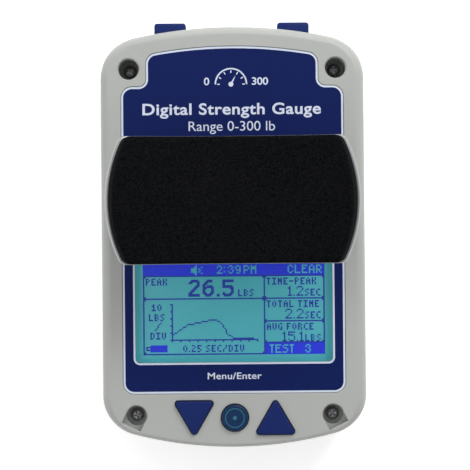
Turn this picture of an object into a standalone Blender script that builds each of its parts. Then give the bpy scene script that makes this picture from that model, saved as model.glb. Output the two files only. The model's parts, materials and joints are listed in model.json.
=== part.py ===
"""Hand-held dynamometer with a curved, padded stirrup on a pull-off post.

Lengths are in metres. The instrument lies on its back: +X is its right side, +Y points
at its two end buttons and +Z leaves the display. The origin is on the surface that it
lies on, under the middle of its outline. Inside the file the shapes are laid out from
the middle of the case, which an empty then shifts by CASE_Y.
"""

import math

import bmesh
import bpy
from mathutils import Vector

MM = 0.001

# Fits
GAP = 0.3 * MM  # between two pieces that touch on the real instrument
MERGE = 0.01 * MM  # offset that keeps two joined faces from coinciding

# Case outline
CASE_WIDTH = 82.2 * MM
CASE_LENGTH = 131.4 * MM
TOP_BOW = 144.5 * MM  # radius of the crowned end with the push buttons
TOP_CORNER = 12.0 * MM
LOW_BOW = 122.5 * MM
LOW_CORNER = 13.4 * MM
CORNER_STEPS = 7
BOW_STEPS = 4
SIDES = ((-1, "left"), (1, "right"))

# Case depth
CASE_DEPTH = 35.0 * MM
PARTING = 20.0 * MM
WALL = 2.2 * MM
FACE_WALL = 2.6 * MM
UNDERSIDE = CASE_DEPTH - FACE_WALL  # inner side of the face
INTO_FACE = UNDERSIDE + 0.7 * MM  # how far up a boss runs into the face
SHOULDER = 2.9 * MM  # width of the sloping flank round the face
LOW_SHOULDER = 1.1 * MM  # the same flank along the lower end
SHOULDER_DROP = 3.6 * MM
SHOULDER_TURN = math.radians(66)  # how far the flank turns before it meets the face
SHOULDER_STEPS = 4
DRAFT = 0.35 * MM
BACK_EDGE_WIDTH = 10.0 * MM
BACK_EDGE_HEIGHT = 13.0 * MM
BACK_STEPS = 4
LIP = 1.1 * MM  # locating lip round the rear shell
LIP_HEIGHT = 1.0 * MM

# Face label
LABEL_HALF = 34.0 * MM
LABEL_TOP = 58.5 * MM
LABEL_BOW = 140.0 * MM
LABEL_LOW = -47.75 * MM
NOTCH_X = 26.3 * MM
NOTCH_Y = 46.25 * MM
LABEL_CORNER = 3.3 * MM
NOTCH_FILLET = 2.3 * MM
LABEL_BED = 0.8 * MM  # depth of its recess
LABEL_FILM = 0.35 * MM
LABEL_DEPTH = 0.15 * MM  # how far the film stays below the face
RATING_HALF = (22.0 * MM, 14.0 * MM)
RATING_Y = -22.0 * MM
RATING_CORNER = 1.8 * MM
RATING_BED = 0.7 * MM
RATING_Z = (0.15 * MM, 0.4 * MM)

# Display
DISPLAY_Y = -22.2 * MM
WINDOW_HALF = (30.3 * MM, 16.2 * MM)
WINDOW_CORNER = 1.4 * MM
LENS_HALF = (32.0 * MM, 18.2 * MM)
LENS_TOP = CASE_DEPTH - LABEL_BED
LENS_THICK = 1.0 * MM
LENS_CORNER = 1.2 * MM
BEZEL_HALF = (35.5 * MM, 20.7 * MM)
BEZEL_TOP = 32.0 * MM
BEZEL_SHEET = 0.5 * MM
BEZEL_CORNER = 0.9 * MM
GLASS_HALF = (34.0 * MM, 19.2 * MM)
GLASS_THICK = 2.0 * MM
LCD_BOARD_HALF = (37.5 * MM, 26.35 * MM)
LCD_BOARD_TOP = 25.6 * MM
LCD_SCREWS = (35.0 * MM, 23.85 * MM)
LCD_BOSS = 2.3 * MM
BOARD_THICK = 1.6 * MM
BOARD_CORNER = 1.0 * MM

# Keys
KEY_Y = -55.3 * MM
KEY_SPACING = 12.45 * MM
KEYS = {"down": -KEY_SPACING, "select": 0.0, "up": KEY_SPACING}  # how far each is to the right
KEY_SIDE = 13.3 * MM  # edge of the sharp-cornered triangle
KEY_CORNER = 1.0 * MM
SELECT_RADIUS = 4.25 * MM
KEY_PROUD = 1.2 * MM
KEY_FLANGE = 0.6 * MM
KEY_FLANGE_THICK = 1.1 * MM
KEY_TRAVEL = 0.8 * MM
MOVING_GAP = 0.25 * MM  # round a key or a button in its opening
PAD_BOARD_HALF = (24.2 * MM, 5.4 * MM)
PAD_BOARD_TOP = 28.4 * MM
PAD_SCREW_X = 22.5 * MM
PAD_BOSS = 1.9 * MM
MAT_HALF = (20.2 * MM, 5.3 * MM)
MAT_SHEET = 0.8 * MM
MAT_CORNER = 1.5 * MM
DOME_RADIUS = 3.0 * MM

# End buttons
BUTTON_X = 19.0 * MM
BUTTON_WIDTH = 9.8 * MM
BUTTON_HEIGHT = 6.0 * MM
BUTTON_Z = 27.0 * MM
BUTTON_END = 66.3 * MM
BUTTON_EDGE = 0.5 * MM
BUTTON_FLANGE = 1.0 * MM
BUTTON_FLANGE_Y = (58.8 * MM, 60.0 * MM)
BUTTON_TRAVEL = 1.0 * MM
SWITCH_HALF = 3.0 * MM
SWITCH_HEIGHT = 4.3 * MM
SWITCH_DEPTH = 3.7 * MM
STEM_HALF = 1.2 * MM
STEM_LENGTH = 0.8 * MM
TOP_BOARD_Y = (45.8 * MM, 57.2 * MM)
TOP_BOARD_HALF = 25.5 * MM
TOP_BOARD_TOP = 23.8 * MM
TOP_SCREW = (9.0 * MM, 49.0 * MM)
TOP_BOSS = 2.2 * MM

# Case screws
UPPER_SCREW = (31.7 * MM, 51.7 * MM)
LOWER_SCREW = (30.15 * MM, -54.6 * MM)
WELL_RADIUS = 3.15 * MM
WELL_BOSS = 4.9 * MM
UPPER_SEAT = 24.0 * MM
LOWER_SEAT = 28.0 * MM
LOWER_POCKET = 31.0 * MM  # floor of the scooped part of a lower well
POCKET_REACH = 3.8 * MM
POCKET_WALL = 1.2 * MM
POCKET_TURN = math.radians(26.3)
REAR_BOSS = 4.2 * MM
CASE_HOLE_END = 11.0 * MM  # height at which a hole in a rear boss ends
BASE_HOLE_END = 1.6 * MM
MAIN_HOLE_END = 6.0 * MM

# Screws: (radius, height) of the head, then of the shank
CASE_HEAD = (1.95 * MM, 1.4 * MM)
CASE_SHANK = (1.25 * MM, 12.0 * MM)
BOARD_HEAD = (2.0 * MM, 1.3 * MM)
MODULE_SHANK = (1.1 * MM, 5.5 * MM)
BOARD_SHANK = (1.1 * MM, 7.0 * MM)
PAD_HEAD = (1.5 * MM, 1.0 * MM)
PAD_SHANK = (0.8 * MM, 4.5 * MM)
BASE_HEAD = (2.9 * MM, 1.8 * MM)
BASE_SHANK = (1.4 * MM, 7.5 * MM)
CELL_BOLT_HEAD = (4.0 * MM, 2.2 * MM)
CELL_BOLT_SHANK = (2.2 * MM, 5.4 * MM)

# Stirrup and its socket
POST_Y = 11.1 * MM
POST_RADIUS = 5.0 * MM
SPIGOT_RADIUS = 3.95 * MM
POST_TIP = 13.5 * MM
POST_SHOULDER = 22.6 * MM
POST_FLANGE = 8.0 * MM
POST_HOLE = 8.0 * MM  # in the face and its label, under the seal
POST_HOLE_STEPS = 32
GROOVE = (15.6 * MM, 17.0 * MM)
GROOVE_RADIUS = 3.0 * MM
RING_RADII = (3.7 * MM, 0.42 * MM)
TAPPED_HOLE = (2.6 * MM, 39.0 * MM)  # radius, and height of its floor
SPIGOT_LEAD_IN = 0.8 * MM
COUNTERSINK = (5.7 * MM, 2.1 * MM)  # radius 1 mm over the plate, and depth
STIRRUP_SCREW = (2.2 * MM, 12.5 * MM)  # radius of the shank, and how deep it ends
HEX_RADIUS = 1.5 * MM
HEX_DEPTH = 1.4 * MM
BUSH_TOP = 22.3 * MM
BUSH_RADIUS = 5.5 * MM
BUSH_BORE = 4.3 * MM
BUSH_FLANGE = 7.3 * MM
SEAL_BORE = 5.45 * MM
SEAL_SPIGOT = 7.7 * MM
SEAL_RADIUS = 9.3 * MM
SEAL_Z = (32.6 * MM, 36.2 * MM)
CELL_LOW = 9.8 * MM
CELL_TOP = 20.5 * MM
CELL_RADIUS = 10.0 * MM
CELL_NECK = 7.6 * MM
CELL_FOOT = 14.0 * MM
CELL_BOLT_HOLE = (2.6 * MM, 12.5 * MM)  # radius, and height of its end
BASE_LOW = 7.0 * MM
BASE_THICK = 2.5 * MM
BASE_HALF = (28.0 * MM, 18.0 * MM)
BASE_SCREWS = (24.0 * MM, 14.0 * MM)
BASE_BOSS = 3.4 * MM
BASE_CORNER = 3.0 * MM
PLATE_FRONT = 53.0 * MM  # face of the plate that the foam is bonded to, on the post axis
PLATE_BEND = 104.0 * MM
PLATE_THICK = 2.0 * MM
PLATE_HALF = (38.1 * MM, 19.05 * MM)
PLATE_END_BOW = 40.0 * MM
PLATE_CORNER = 2.6 * MM
FOAM_THICK = 5.0 * MM
FOAM_HALF = (37.7 * MM, 18.8 * MM)

# Electronics behind the display
MAIN_BOARD_HALF = 25.0 * MM
MAIN_BOARD_Y = (-60.2 * MM, -14.0 * MM)
MAIN_BOARD_TOP = 17.1 * MM
MAIN_SCREW_X = 22.0 * MM
MAIN_SCREW_Y = (-57.0 * MM, -17.2 * MM)
MAIN_BOSS = 2.6 * MM
BEEPER = (12.0 * MM, -46.0 * MM)
BEEPER_SIZE = (6.0 * MM, 4.6 * MM)
LEAD_RADIUS = 0.8 * MM
RIBBON_WIDTH = 20.0 * MM
RIBBON_THICK = 0.3 * MM
RIBBON_BOW = 3.0 * MM
BATTERY_HALF = (18.0 * MM, 18.5 * MM)
BATTERY_Y = -35.0 * MM
BATTERY_Z = (4.3 * MM, 11.8 * MM)
BATTERY_EDGE = 1.5 * MM
USB_HALF = (4.45 * MM, 1.6 * MM)
USB_Z = 13.6 * MM
USB_Y = (-65.1 * MM, -56.7 * MM)
USB_SKIN = 0.35 * MM
USB_TONGUE = (3.3 * MM, 0.35 * MM)
USB_CLEARANCE = 0.6 * MM

# The end buttons stand out past one end only, so the case sits back by half of that.
CASE_Y = -(BUTTON_END - CASE_LENGTH / 2) / 2


def clear_scene():
    for obj in list(bpy.data.objects):
        bpy.data.objects.remove(obj, do_unlink=True)


def make_collection(name):
    collection = bpy.data.collections.new(name)
    bpy.context.scene.collection.children.link(collection)
    return collection


def make_material(name, colour, roughness, metallic=0.0):
    material = bpy.data.materials.new(name)
    material.use_nodes = True
    shader = material.node_tree.nodes["Principled BSDF"]
    shader.inputs["Base Color"].default_value = (*colour, 1.0)
    shader.inputs["Roughness"].default_value = roughness
    shader.inputs["Metallic"].default_value = metallic
    return material


clear_scene()
PARTS = make_collection("hand_dynamometer")
CUTTERS = make_collection("cutters")
CASE = bpy.data.objects.new("case_middle", None)
CASE.location = (0, CASE_Y, 0)
PARTS.objects.link(CASE)

CASE_GREY = make_material("case_grey", (0.42, 0.42, 0.39), 0.45)
LABEL_BLUE = make_material("label_blue", (0.010, 0.022, 0.115), 0.35)
KEY_BLUE = make_material("key_blue", (0.012, 0.030, 0.210), 0.40)
CLEAR = make_material("clear_acrylic", (0.85, 0.90, 0.92), 0.05)
DISPLAY = make_material("display_glass", (0.08, 0.33, 0.36), 0.15)
BACKLIGHT = make_material("light_guide", (0.75, 0.80, 0.78), 0.50)
STEEL = make_material("steel", (0.55, 0.55, 0.56), 0.30, 1.0)
ALUMINIUM = make_material("aluminium", (0.72, 0.73, 0.74), 0.35, 1.0)
BOARD_GREEN = make_material("circuit_board", (0.010, 0.130, 0.050), 0.50)
SILICONE = make_material("silicone", (0.16, 0.16, 0.17), 0.80)
BLACK_RUBBER = make_material("black_rubber", (0.02, 0.02, 0.02), 0.85)
FOAM_BLACK = make_material("black_foam", (0.012, 0.012, 0.012), 0.95)
NYLON = make_material("nylon", (0.70, 0.69, 0.64), 0.55)
BLACK_PLASTIC = make_material("black_plastic", (0.03, 0.03, 0.03), 0.50)
CELL_WRAP = make_material("cell_wrap", (0.05, 0.12, 0.30), 0.45)


# ---------------------------------------------------------------- outlines


def arc(x, y, radius, start, end, steps):
    """Points on an arc, both ends included; the angles are in radians."""
    turn = (end - start) / steps
    return [
        (x + radius * math.cos(start + turn * i), y + radius * math.sin(start + turn * i))
        for i in range(steps + 1)
    ]


def circle(x, y, radius, steps=24):
    return arc(x, y, radius, 0, math.tau, steps)[:-1]


def filleted(corners, steps=4):
    """Closed outline through corners (x, y, radius), each rounded to its own radius."""
    points = []
    for i, (x, y, radius) in enumerate(corners):
        if not radius:
            points.append((x, y))
            continue
        before = corners[i - 1]
        after = corners[(i + 1) % len(corners)]
        back = math.atan2(before[1] - y, before[0] - x)
        ahead = math.atan2(after[1] - y, after[0] - x)
        opening = math.remainder(ahead - back, math.tau)
        middle = back + opening / 2
        reach = radius / math.sin(abs(opening) / 2)
        sweep = math.pi - abs(opening)
        side = math.copysign(sweep, opening)
        points += arc(
            x + reach * math.cos(middle),
            y + reach * math.sin(middle),
            radius,
            middle + math.pi + side / 2,
            middle + math.pi - side / 2,
            steps,
        )
    return points


def rounded_rectangle(x, y, half, radius, steps=4):
    corners = [(1, 1), (-1, 1), (-1, -1), (1, -1)]
    return filleted([(x + a * half[0], y + b * half[1], radius) for a, b in corners], steps)


def bowed_quarter(flat, apex, bow, corner, corner_steps, bow_steps):
    """Quarter outline from a flat side at u = flat, round a corner, to a bow's apex at
    v = apex. Yields u, v and the angle of the outward normal."""
    middle = apex - bow
    turn = math.acos((flat - corner) / (bow - corner))
    corner_v = middle + (bow - corner) * math.sin(turn)
    for i in range(corner_steps + 1):
        angle = turn * i / corner_steps
        yield flat - corner + corner * math.cos(angle), corner_v + corner * math.sin(angle), angle
    for i in range(1, bow_steps + 1):
        angle = turn + (math.pi / 2 - turn) * i / bow_steps
        yield bow * math.cos(angle), middle + bow * math.sin(angle), angle


def case_level(z, inset, low_inset=None):
    """The case's outline at height z, moved in by inset, and by low_inset at the low end."""
    if low_inset is None:
        low_inset = inset
    flat = CASE_WIDTH / 2
    apex = CASE_LENGTH / 2
    top = list(bowed_quarter(flat, apex, TOP_BOW, TOP_CORNER, CORNER_STEPS, BOW_STEPS))
    low = list(bowed_quarter(flat, apex, LOW_BOW, LOW_CORNER, CORNER_STEPS, BOW_STEPS))
    low_turn = low[CORNER_STEPS][2]

    def place(u, v, angle, side, end):
        share = min(angle / low_turn, 1.0) if end < 0 else 0.0
        share = share * share * (3 - 2 * share)
        depth = inset + (low_inset - inset) * share
        x = u - depth * math.cos(angle)
        y = v - depth * math.sin(angle)
        return side * x, end * y, z

    right_top = [place(*point, 1, 1) for point in top]
    left_top = [place(*point, -1, 1) for point in reversed(top[:-1])]
    left_low = [place(*point, -1, -1) for point in low]
    right_low = [place(*point, 1, -1) for point in reversed(low[:-1])]
    return right_top + left_top + left_low + right_low


def label_outline(grow=0.0):
    """Outline of the face label, with a notch beside each upper case screw."""
    half = LABEL_HALF + grow
    low = LABEL_LOW - grow
    notch_x = NOTCH_X + grow
    notch_y = NOTCH_Y + grow
    bow = LABEL_BOW + grow
    middle = LABEL_TOP - LABEL_BOW
    outer = LABEL_CORNER + grow
    inner = NOTCH_FILLET - grow
    shoulder = math.asin(notch_x / bow)
    crown = arc(0, middle, bow, math.pi / 2 - shoulder, math.pi / 2 + shoulder, 8)
    right = [(half, low, outer), (half, notch_y, outer), (notch_x, notch_y, inner)]
    left = [(-x, y, radius) for x, y, radius in reversed(right)]
    ends = [(*crown[0], outer), *((*point, 0) for point in crown[1:-1]), (*crown[-1], outer)]
    return filleted(right + ends + left)


def triangle(x, y, side, radius, points_up):
    """Equilateral outline whose flat edge and opposite corner are centred on (x, y)."""
    height = side * math.sqrt(3) / 2 - radius
    direction = 1 if points_up else -1
    base = y - direction * height / 2
    corners = [
        (x - direction * side / 2, base, radius),
        (x + direction * side / 2, base, radius),
        (x, base + direction * (height + radius), radius),
    ]
    return filleted(corners)


def key_outline(kind, grow=0.0):
    if kind == "select":
        return circle(0, KEY_Y, SELECT_RADIUS + grow)
    side = KEY_SIDE + grow * 2 * math.sqrt(3)
    return triangle(KEYS[kind], KEY_Y, side, KEY_CORNER + grow, kind == "up")


def pocket_outline(side, grow=0.0):
    """Round-ended pocket of a lower screw well, cut off square towards the case corner."""
    x, y = LOWER_SCREW
    half = WELL_RADIUS + grow
    reach = -POCKET_REACH - grow
    shape = arc(0, 0, half, 0, math.pi, 8) + [(-half, reach), (half, reach)]
    turn_cos = math.cos(POCKET_TURN)
    turn_sin = math.sin(POCKET_TURN)
    turned = [(u * turn_cos - v * turn_sin, u * turn_sin + v * turn_cos) for u, v in shape]
    return [(side * (x + u), y + v) for u, v in turned]


def cross_outline(reach, half, turn=math.radians(20)):
    """Four-armed cross, with each arm's three corners worked out at its own angle."""
    points = []
    for quarter in range(4):
        angle = turn + quarter * math.pi / 2
        for along, across in ((reach, -half), (reach, half), (half, half)):
            x = along * math.cos(angle) - across * math.sin(angle)
            y = along * math.sin(angle) + across * math.cos(angle)
            points.append((x, y))
    return points


def stirrup_outline(half, end_bow, corner):
    """Long outline with straight long sides and bowed ends."""
    quarter = list(bowed_quarter(half[1], half[0], end_bow, corner, 4, 3))
    right_top = [(v, u) for u, v, _ in reversed(quarter)]
    left_top = [(-v, u) for u, v, _ in quarter]
    low = [(x, -y) for x, y in reversed(right_top[1:] + left_top[:-1])]
    return right_top + left_top + low


# ------------------------------------------------------------------ shapes


def finish(name, mesh, material):
    """Put a mesh in the scene: a part when it has a material, otherwise a cutter."""
    obj = bpy.data.objects.new(name, mesh)
    if material is None:
        CUTTERS.objects.link(obj)
        obj.hide_render = True
        obj.display_type = "WIRE"
    else:
        PARTS.objects.link(obj)
        obj.data.materials.append(material)
    obj.parent = CASE
    return obj


def mesh_of(name, bm):
    bmesh.ops.recalc_face_normals(bm, faces=bm.faces)
    mesh = bpy.data.meshes.new(name)
    bm.to_mesh(mesh)
    bm.free()
    return mesh


def smooth(obj, angle=math.radians(35)):
    obj.data.shade_smooth()
    obj.data.set_sharp_from_angle(angle=angle)
    return obj


def loft(name, levels, material):
    """Closed solid through rings of equal length, capped at its two ends."""
    bm = bmesh.new()
    rings = [[bm.verts.new(point) for point in level] for level in levels]
    for near, far in zip(rings, rings[1:]):
        for i in range(len(near)):
            j = (i + 1) % len(near)
            bm.faces.new((near[i], near[j], far[j], far[i]))
    bm.faces.new(rings[0])
    bm.faces.new(rings[-1])
    return smooth(finish(name, mesh_of(name, bm), material))


def plate(name, outlines, low, high, material):
    """Flat plate between two heights; outlines after the first are holes in it."""
    curve = bpy.data.curves.new(name, "CURVE")
    curve.dimensions = "2D"
    curve.fill_mode = "BOTH"
    curve.extrude = (high - low) / 2
    for outline in outlines:
        spline = curve.splines.new("POLY")
        spline.points.add(len(outline) - 1)
        for point, (x, y) in zip(spline.points, outline):
            point.co = (x, y, 0, 1)
        spline.use_cyclic_u = True
    guide = bpy.data.objects.new(name + "_outline", curve)
    bpy.context.scene.collection.objects.link(guide)
    bpy.context.view_layer.update()
    filled = guide.evaluated_get(bpy.context.evaluated_depsgraph_get())
    mesh = bpy.data.meshes.new_from_object(filled)
    bpy.data.objects.remove(guide)
    bm = bmesh.new()
    bm.from_mesh(mesh)
    bpy.data.meshes.remove(mesh)
    bmesh.ops.remove_doubles(bm, verts=bm.verts, dist=1e-6)
    bmesh.ops.translate(bm, verts=bm.verts, vec=(0, 0, (high + low) / 2))
    return finish(name, mesh_of(name, bm), material)


def box(name, x, y, z, material):
    """Box between the pairs x, y and z."""
    bm = bmesh.new()
    bmesh.ops.create_cube(bm, size=1)
    size = (x[1] - x[0], y[1] - y[0], z[1] - z[0])
    middle = ((x[0] + x[1]) / 2, (y[0] + y[1]) / 2, (z[0] + z[1]) / 2)
    bmesh.ops.scale(bm, vec=size, verts=bm.verts)
    bmesh.ops.translate(bm, vec=middle, verts=bm.verts)
    return finish(name, mesh_of(name, bm), material)


def cylinders(name, stands, material, segments=14):
    """Upright cylinders (x, y, radius, low, high) in one mesh."""
    bm = bmesh.new()
    for x, y, radius, low, high in stands:
        made = bmesh.ops.create_cone(
            bm, cap_ends=True, segments=segments, radius1=radius, radius2=radius, depth=high - low
        )
        bmesh.ops.translate(bm, vec=(x, y, (low + high) / 2), verts=made["verts"])
    return smooth(finish(name, mesh_of(name, bm), material))


def turned(name, profile, material, segments=24, closed=False):
    """Solid turned about the Z axis from a profile of (radius, height), outer side down."""
    bm = bmesh.new()
    points = [bm.verts.new((radius, 0, height)) for radius, height in profile]
    for near, far in zip(points, points[1:]):
        bm.edges.new((near, far))
    if closed:
        bm.edges.new((points[-1], points[0]))
    mesh = bpy.data.meshes.new(name)
    bm.to_mesh(mesh)
    bm.free()
    obj = finish(name, mesh, material)
    screw = obj.modifiers.new("turn", "SCREW")
    screw.steps = segments
    screw.render_steps = segments
    screw.use_merge_vertices = True
    screw.merge_threshold = 1e-6
    screw.use_smooth_shade = False
    return obj


def at(obj, x, y, z=0.0):
    obj.location = (x, y, z)
    return obj


def bevelled(obj, width, segments=2):
    bevel = obj.modifiers.new("edges", "BEVEL")
    bevel.width = width
    bevel.segments = segments
    bevel.limit_method = "ANGLE"
    return obj


def boolean(obj, other, operation):
    modifier = obj.modifiers.new(other.name, "BOOLEAN")
    modifier.operation = operation
    modifier.object = other
    return obj


def cut(obj, *cutters):
    for cutter in cutters:
        boolean(obj, cutter, "DIFFERENCE")
    return obj


def join(obj, *others):
    for other in others:
        boolean(obj, other, "UNION")
    return obj


def bend(obj, radius, strips=8):
    """Curl a flat piece towards +Z about an axis along Y, radius above its z = 0."""
    bm = bmesh.new()
    bm.from_mesh(obj.data)
    reach = max(vert.co.x for vert in bm.verts)
    for i in range(1, strips):
        whole = bm.verts[:] + bm.edges[:] + bm.faces[:]
        station = reach * (2 * i / strips - 1)
        bmesh.ops.bisect_plane(bm, geom=whole, plane_co=(station, 0, 0), plane_no=(1, 0, 0))
    for vert in bm.verts:
        angle = vert.co.x / radius
        arm = radius - vert.co.z
        vert.co.x = arm * math.sin(angle)
        vert.co.z = radius - arm * math.cos(angle)
    bm.to_mesh(obj.data)
    bm.free()
    return smooth(obj)


def lead(name, points, radius, material):
    """Insulated lead along a smooth route through the given points."""
    curve = bpy.data.curves.new(name, "CURVE")
    curve.dimensions = "3D"
    curve.bevel_depth = radius
    curve.bevel_resolution = 1
    curve.use_fill_caps = True
    route = smooth_route(points)
    spline = curve.splines.new("POLY")
    spline.points.add(len(route) - 1)
    for point, place in zip(spline.points, route):
        point.co = (*place, 1)
    curve.materials.append(material)
    obj = bpy.data.objects.new(name, curve)
    PARTS.objects.link(obj)
    obj.parent = CASE
    return obj


def smooth_route(points, steps=4):
    """Points of a Catmull-Rom curve through the given ones."""
    padded = [Vector(point) for point in (points[0], *points, points[-1])]
    route = []
    for before, start, end, after in zip(padded, padded[1:], padded[2:], padded[3:]):
        for i in range(steps):
            t = i / steps
            straight = 2 * start + (end - before) * t
            curved = (2 * before - 5 * start + 4 * end - after) * t**2
            eased = (3 * start - before - 3 * end + after) * t**3
            route.append((straight + curved + eased) / 2)
    return [*route, padded[-1]]


def ribbon(name, points, width, thickness, material):
    """Flat flexible cable whose middle follows points (y, z) across the case's middle."""
    bm = bmesh.new()
    rows = [[bm.verts.new((side * width / 2, y, z)) for side in (-1, 1)] for y, z in points]
    for near, far in zip(rows, rows[1:]):
        bm.faces.new((near[0], near[1], far[1], far[0]))
    obj = finish(name, mesh_of(name, bm), material)
    solid = obj.modifiers.new("thickness", "SOLIDIFY")
    solid.thickness = thickness
    solid.offset = 0
    return obj


SCREW_MESHES = {}
SCREW_SEGMENTS = 10


def screw(name, place, head, shank, upwards=False):
    """Steel cross-recess screw with the underside of its head at place. head and shank
    are (radius, length). It points down, or up where upwards is set."""
    key = (head, shank)
    if key not in SCREW_MESHES:
        radius, height = head
        profile = [
            (0, height),
            (radius * 0.7, height),
            (radius, height * 0.4),
            (radius, 0),
            (shank[0], 0),
            (shank[0], -shank[1]),
            (0, -shank[1]),
        ]
        blank = turned(f"{name}_blank", profile, None, SCREW_SEGMENTS)
        cross = cross_outline(radius * 0.6, radius * 0.15)
        cut(blank, plate(f"{name}_recess", [cross], height * 0.4, height * 2, None))
        bpy.context.view_layer.update()
        shaped = blank.evaluated_get(bpy.context.evaluated_depsgraph_get())
        SCREW_MESHES[key] = bpy.data.meshes.new_from_object(shaped)
        SCREW_MESHES[key].materials.clear()
        SCREW_MESHES[key].materials.append(STEEL)
        helpers = [blank]
        helpers += [modifier.object for modifier in blank.modifiers if modifier.type == "BOOLEAN"]
        for helper in helpers:
            bpy.data.objects.remove(helper)
    obj = bpy.data.objects.new(name, SCREW_MESHES[key])
    PARTS.objects.link(obj)
    obj.parent = CASE
    obj.location = place
    if upwards:
        obj.rotation_euler = (math.pi, 0, 0)
    return obj


def mirrored(x, y):
    """A place on the right side and its mirror image on the left."""
    return [(x, y), (-x, y)]


def four(spacing, centre_y=0.0):
    """The four corners of a rectangle, as (x, y), starting at the right far one."""
    x, y = spacing
    return [(x, centre_y + y), (-x, centre_y + y), (-x, centre_y - y), (x, centre_y - y)]


def main_screw_places():
    return [place for y in MAIN_SCREW_Y for place in mirrored(MAIN_SCREW_X, y)]


def case_screw_places():
    upper = [(side * UPPER_SCREW[0], UPPER_SCREW[1], UPPER_SEAT) for side in (1, -1)]
    lower = [(side * LOWER_SCREW[0], LOWER_SCREW[1], LOWER_SEAT) for side in (-1, 1)]
    return upper + lower


# ------------------------------------------------------------- sub-parts


def front_levels():
    """Rings of the front shell's section: from the inside of the face down the wall to the
    rebate for the lip, and back up the outside to the face."""
    inner = DRAFT + WALL
    rebate = PARTING + LIP_HEIGHT + GAP
    levels = [
        case_level(UNDERSIDE, SHOULDER + WALL * 0.7, inner),
        case_level(UNDERSIDE - SHOULDER_DROP / 2, inner + GAP, inner),
        case_level(rebate, WALL),
        case_level(rebate, LIP - GAP),
        case_level(PARTING + GAP / 2, LIP - GAP),
        case_level(PARTING + GAP / 2, 0),
    ]
    for i in range(SHOULDER_STEPS + 1):
        angle = SHOULDER_TURN * i / SHOULDER_STEPS
        rise = math.sin(angle) / math.sin(SHOULDER_TURN)
        run = (1 - math.cos(angle)) / (1 - math.cos(SHOULDER_TURN))
        z = CASE_DEPTH - SHOULDER_DROP * (1 - rise)
        inset = DRAFT + (SHOULDER - DRAFT) * run
        low_inset = DRAFT + (LOW_SHOULDER - DRAFT) * run
        levels.append(case_level(z, inset, low_inset))
    return levels


def add_front_bosses(shell):
    stands = [(x, y, WELL_BOSS, BUSH_TOP, INTO_FACE) for x, y, _ in case_screw_places()]
    for places, radius, board_top in (
        (four(LCD_SCREWS, DISPLAY_Y), LCD_BOSS, LCD_BOARD_TOP),
        (mirrored(PAD_SCREW_X, KEY_Y), PAD_BOSS, PAD_BOARD_TOP),
        (mirrored(*TOP_SCREW), TOP_BOSS, TOP_BOARD_TOP),
    ):
        stands += [(x, y, radius, board_top + GAP, INTO_FACE) for x, y in places]
    join(shell, cylinders("front_bosses", stands, None))
    for side, word in SIDES:
        floor = pocket_outline(side, POCKET_WALL)
        low = LOWER_POCKET - POCKET_WALL
        join(shell, plate(f"{word}_pocket_floor", [floor], low, INTO_FACE, None))


def cut_screw_holes(shell):
    """Wells and pockets from the front, pilot holes from behind."""
    over = CASE_DEPTH + MM
    wells = [(x, y, WELL_RADIUS, seat, over) for x, y, seat in case_screw_places()]
    cut(shell, cylinders("screw_wells", wells, None, 20))
    for side, word in SIDES:
        cut(shell, plate(f"{word}_pocket", [pocket_outline(side)], LOWER_POCKET, over, None))
    pilots = [(x, y, 1.6 * MM, PARTING, seat + MM) for x, y, seat in case_screw_places()]
    for places, shank, end in (
        (four(LCD_SCREWS, DISPLAY_Y), MODULE_SHANK, 30.5 * MM),
        (mirrored(PAD_SCREW_X, KEY_Y), PAD_SHANK, 31.5 * MM),
        (mirrored(*TOP_SCREW), MODULE_SHANK, 30.0 * MM),
    ):
        pilots += [(x, y, shank[0] + GAP, PARTING, end) for x, y in places]
    cut(shell, cylinders("front_pilots", pilots, None, 8))


def make_front_shell():
    """Face, flanks and walls down to the parting line, with every seat behind the face."""
    shell = loft("front_shell", front_levels(), CASE_GREY)
    add_front_bosses(shell)

    under = UNDERSIDE - MM
    over = CASE_DEPTH + MM
    window = rounded_rectangle(0, DISPLAY_Y, WINDOW_HALF, WINDOW_CORNER)
    lens_room = (LENS_HALF[0] + GAP, LENS_HALF[1] + GAP)
    lens = rounded_rectangle(0, DISPLAY_Y, lens_room, LENS_CORNER + GAP)
    bed = label_outline(GAP / 2)
    cut(
        shell,
        plate("label_recess", [bed], CASE_DEPTH - LABEL_BED, over, None),
        plate("lens_seat", [lens], LENS_TOP - LENS_THICK - GAP, CASE_DEPTH, None),
        plate("display_window", [window], under, CASE_DEPTH, None),
        cylinders("post_hole", [(0, POST_Y, POST_HOLE, under, over)], None, POST_HOLE_STEPS),
    )
    for kind in KEYS:
        cut(shell, plate(f"{kind}_opening", [key_outline(kind, MOVING_GAP)], under, over, None))
    cut_screw_holes(shell)
    for side, word in SIDES:
        half = BUTTON_WIDTH / 2 + MOVING_GAP
        tall = BUTTON_HEIGHT / 2 + MOVING_GAP
        slot = box(
            f"{word}_button_slot",
            (side * BUTTON_X - half, side * BUTTON_X + half),
            (BUTTON_FLANGE_Y[0], BUTTON_END + MM),
            (BUTTON_Z - tall, BUTTON_Z + tall),
            None,
        )
        cut(shell, slot)
    return shell


def back_levels(depth):
    """Rounded back of the rear shell, or a surface that lies depth inside it."""
    levels = []
    for i in range(BACK_STEPS + 1):
        angle = math.pi / 2 * i / BACK_STEPS
        z = BACK_EDGE_HEIGHT - (BACK_EDGE_HEIGHT - depth) * math.cos(angle)
        inset = BACK_EDGE_WIDTH - (BACK_EDGE_WIDTH - depth) * math.sin(angle)
        levels.append(case_level(z, inset))
    return levels


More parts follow.
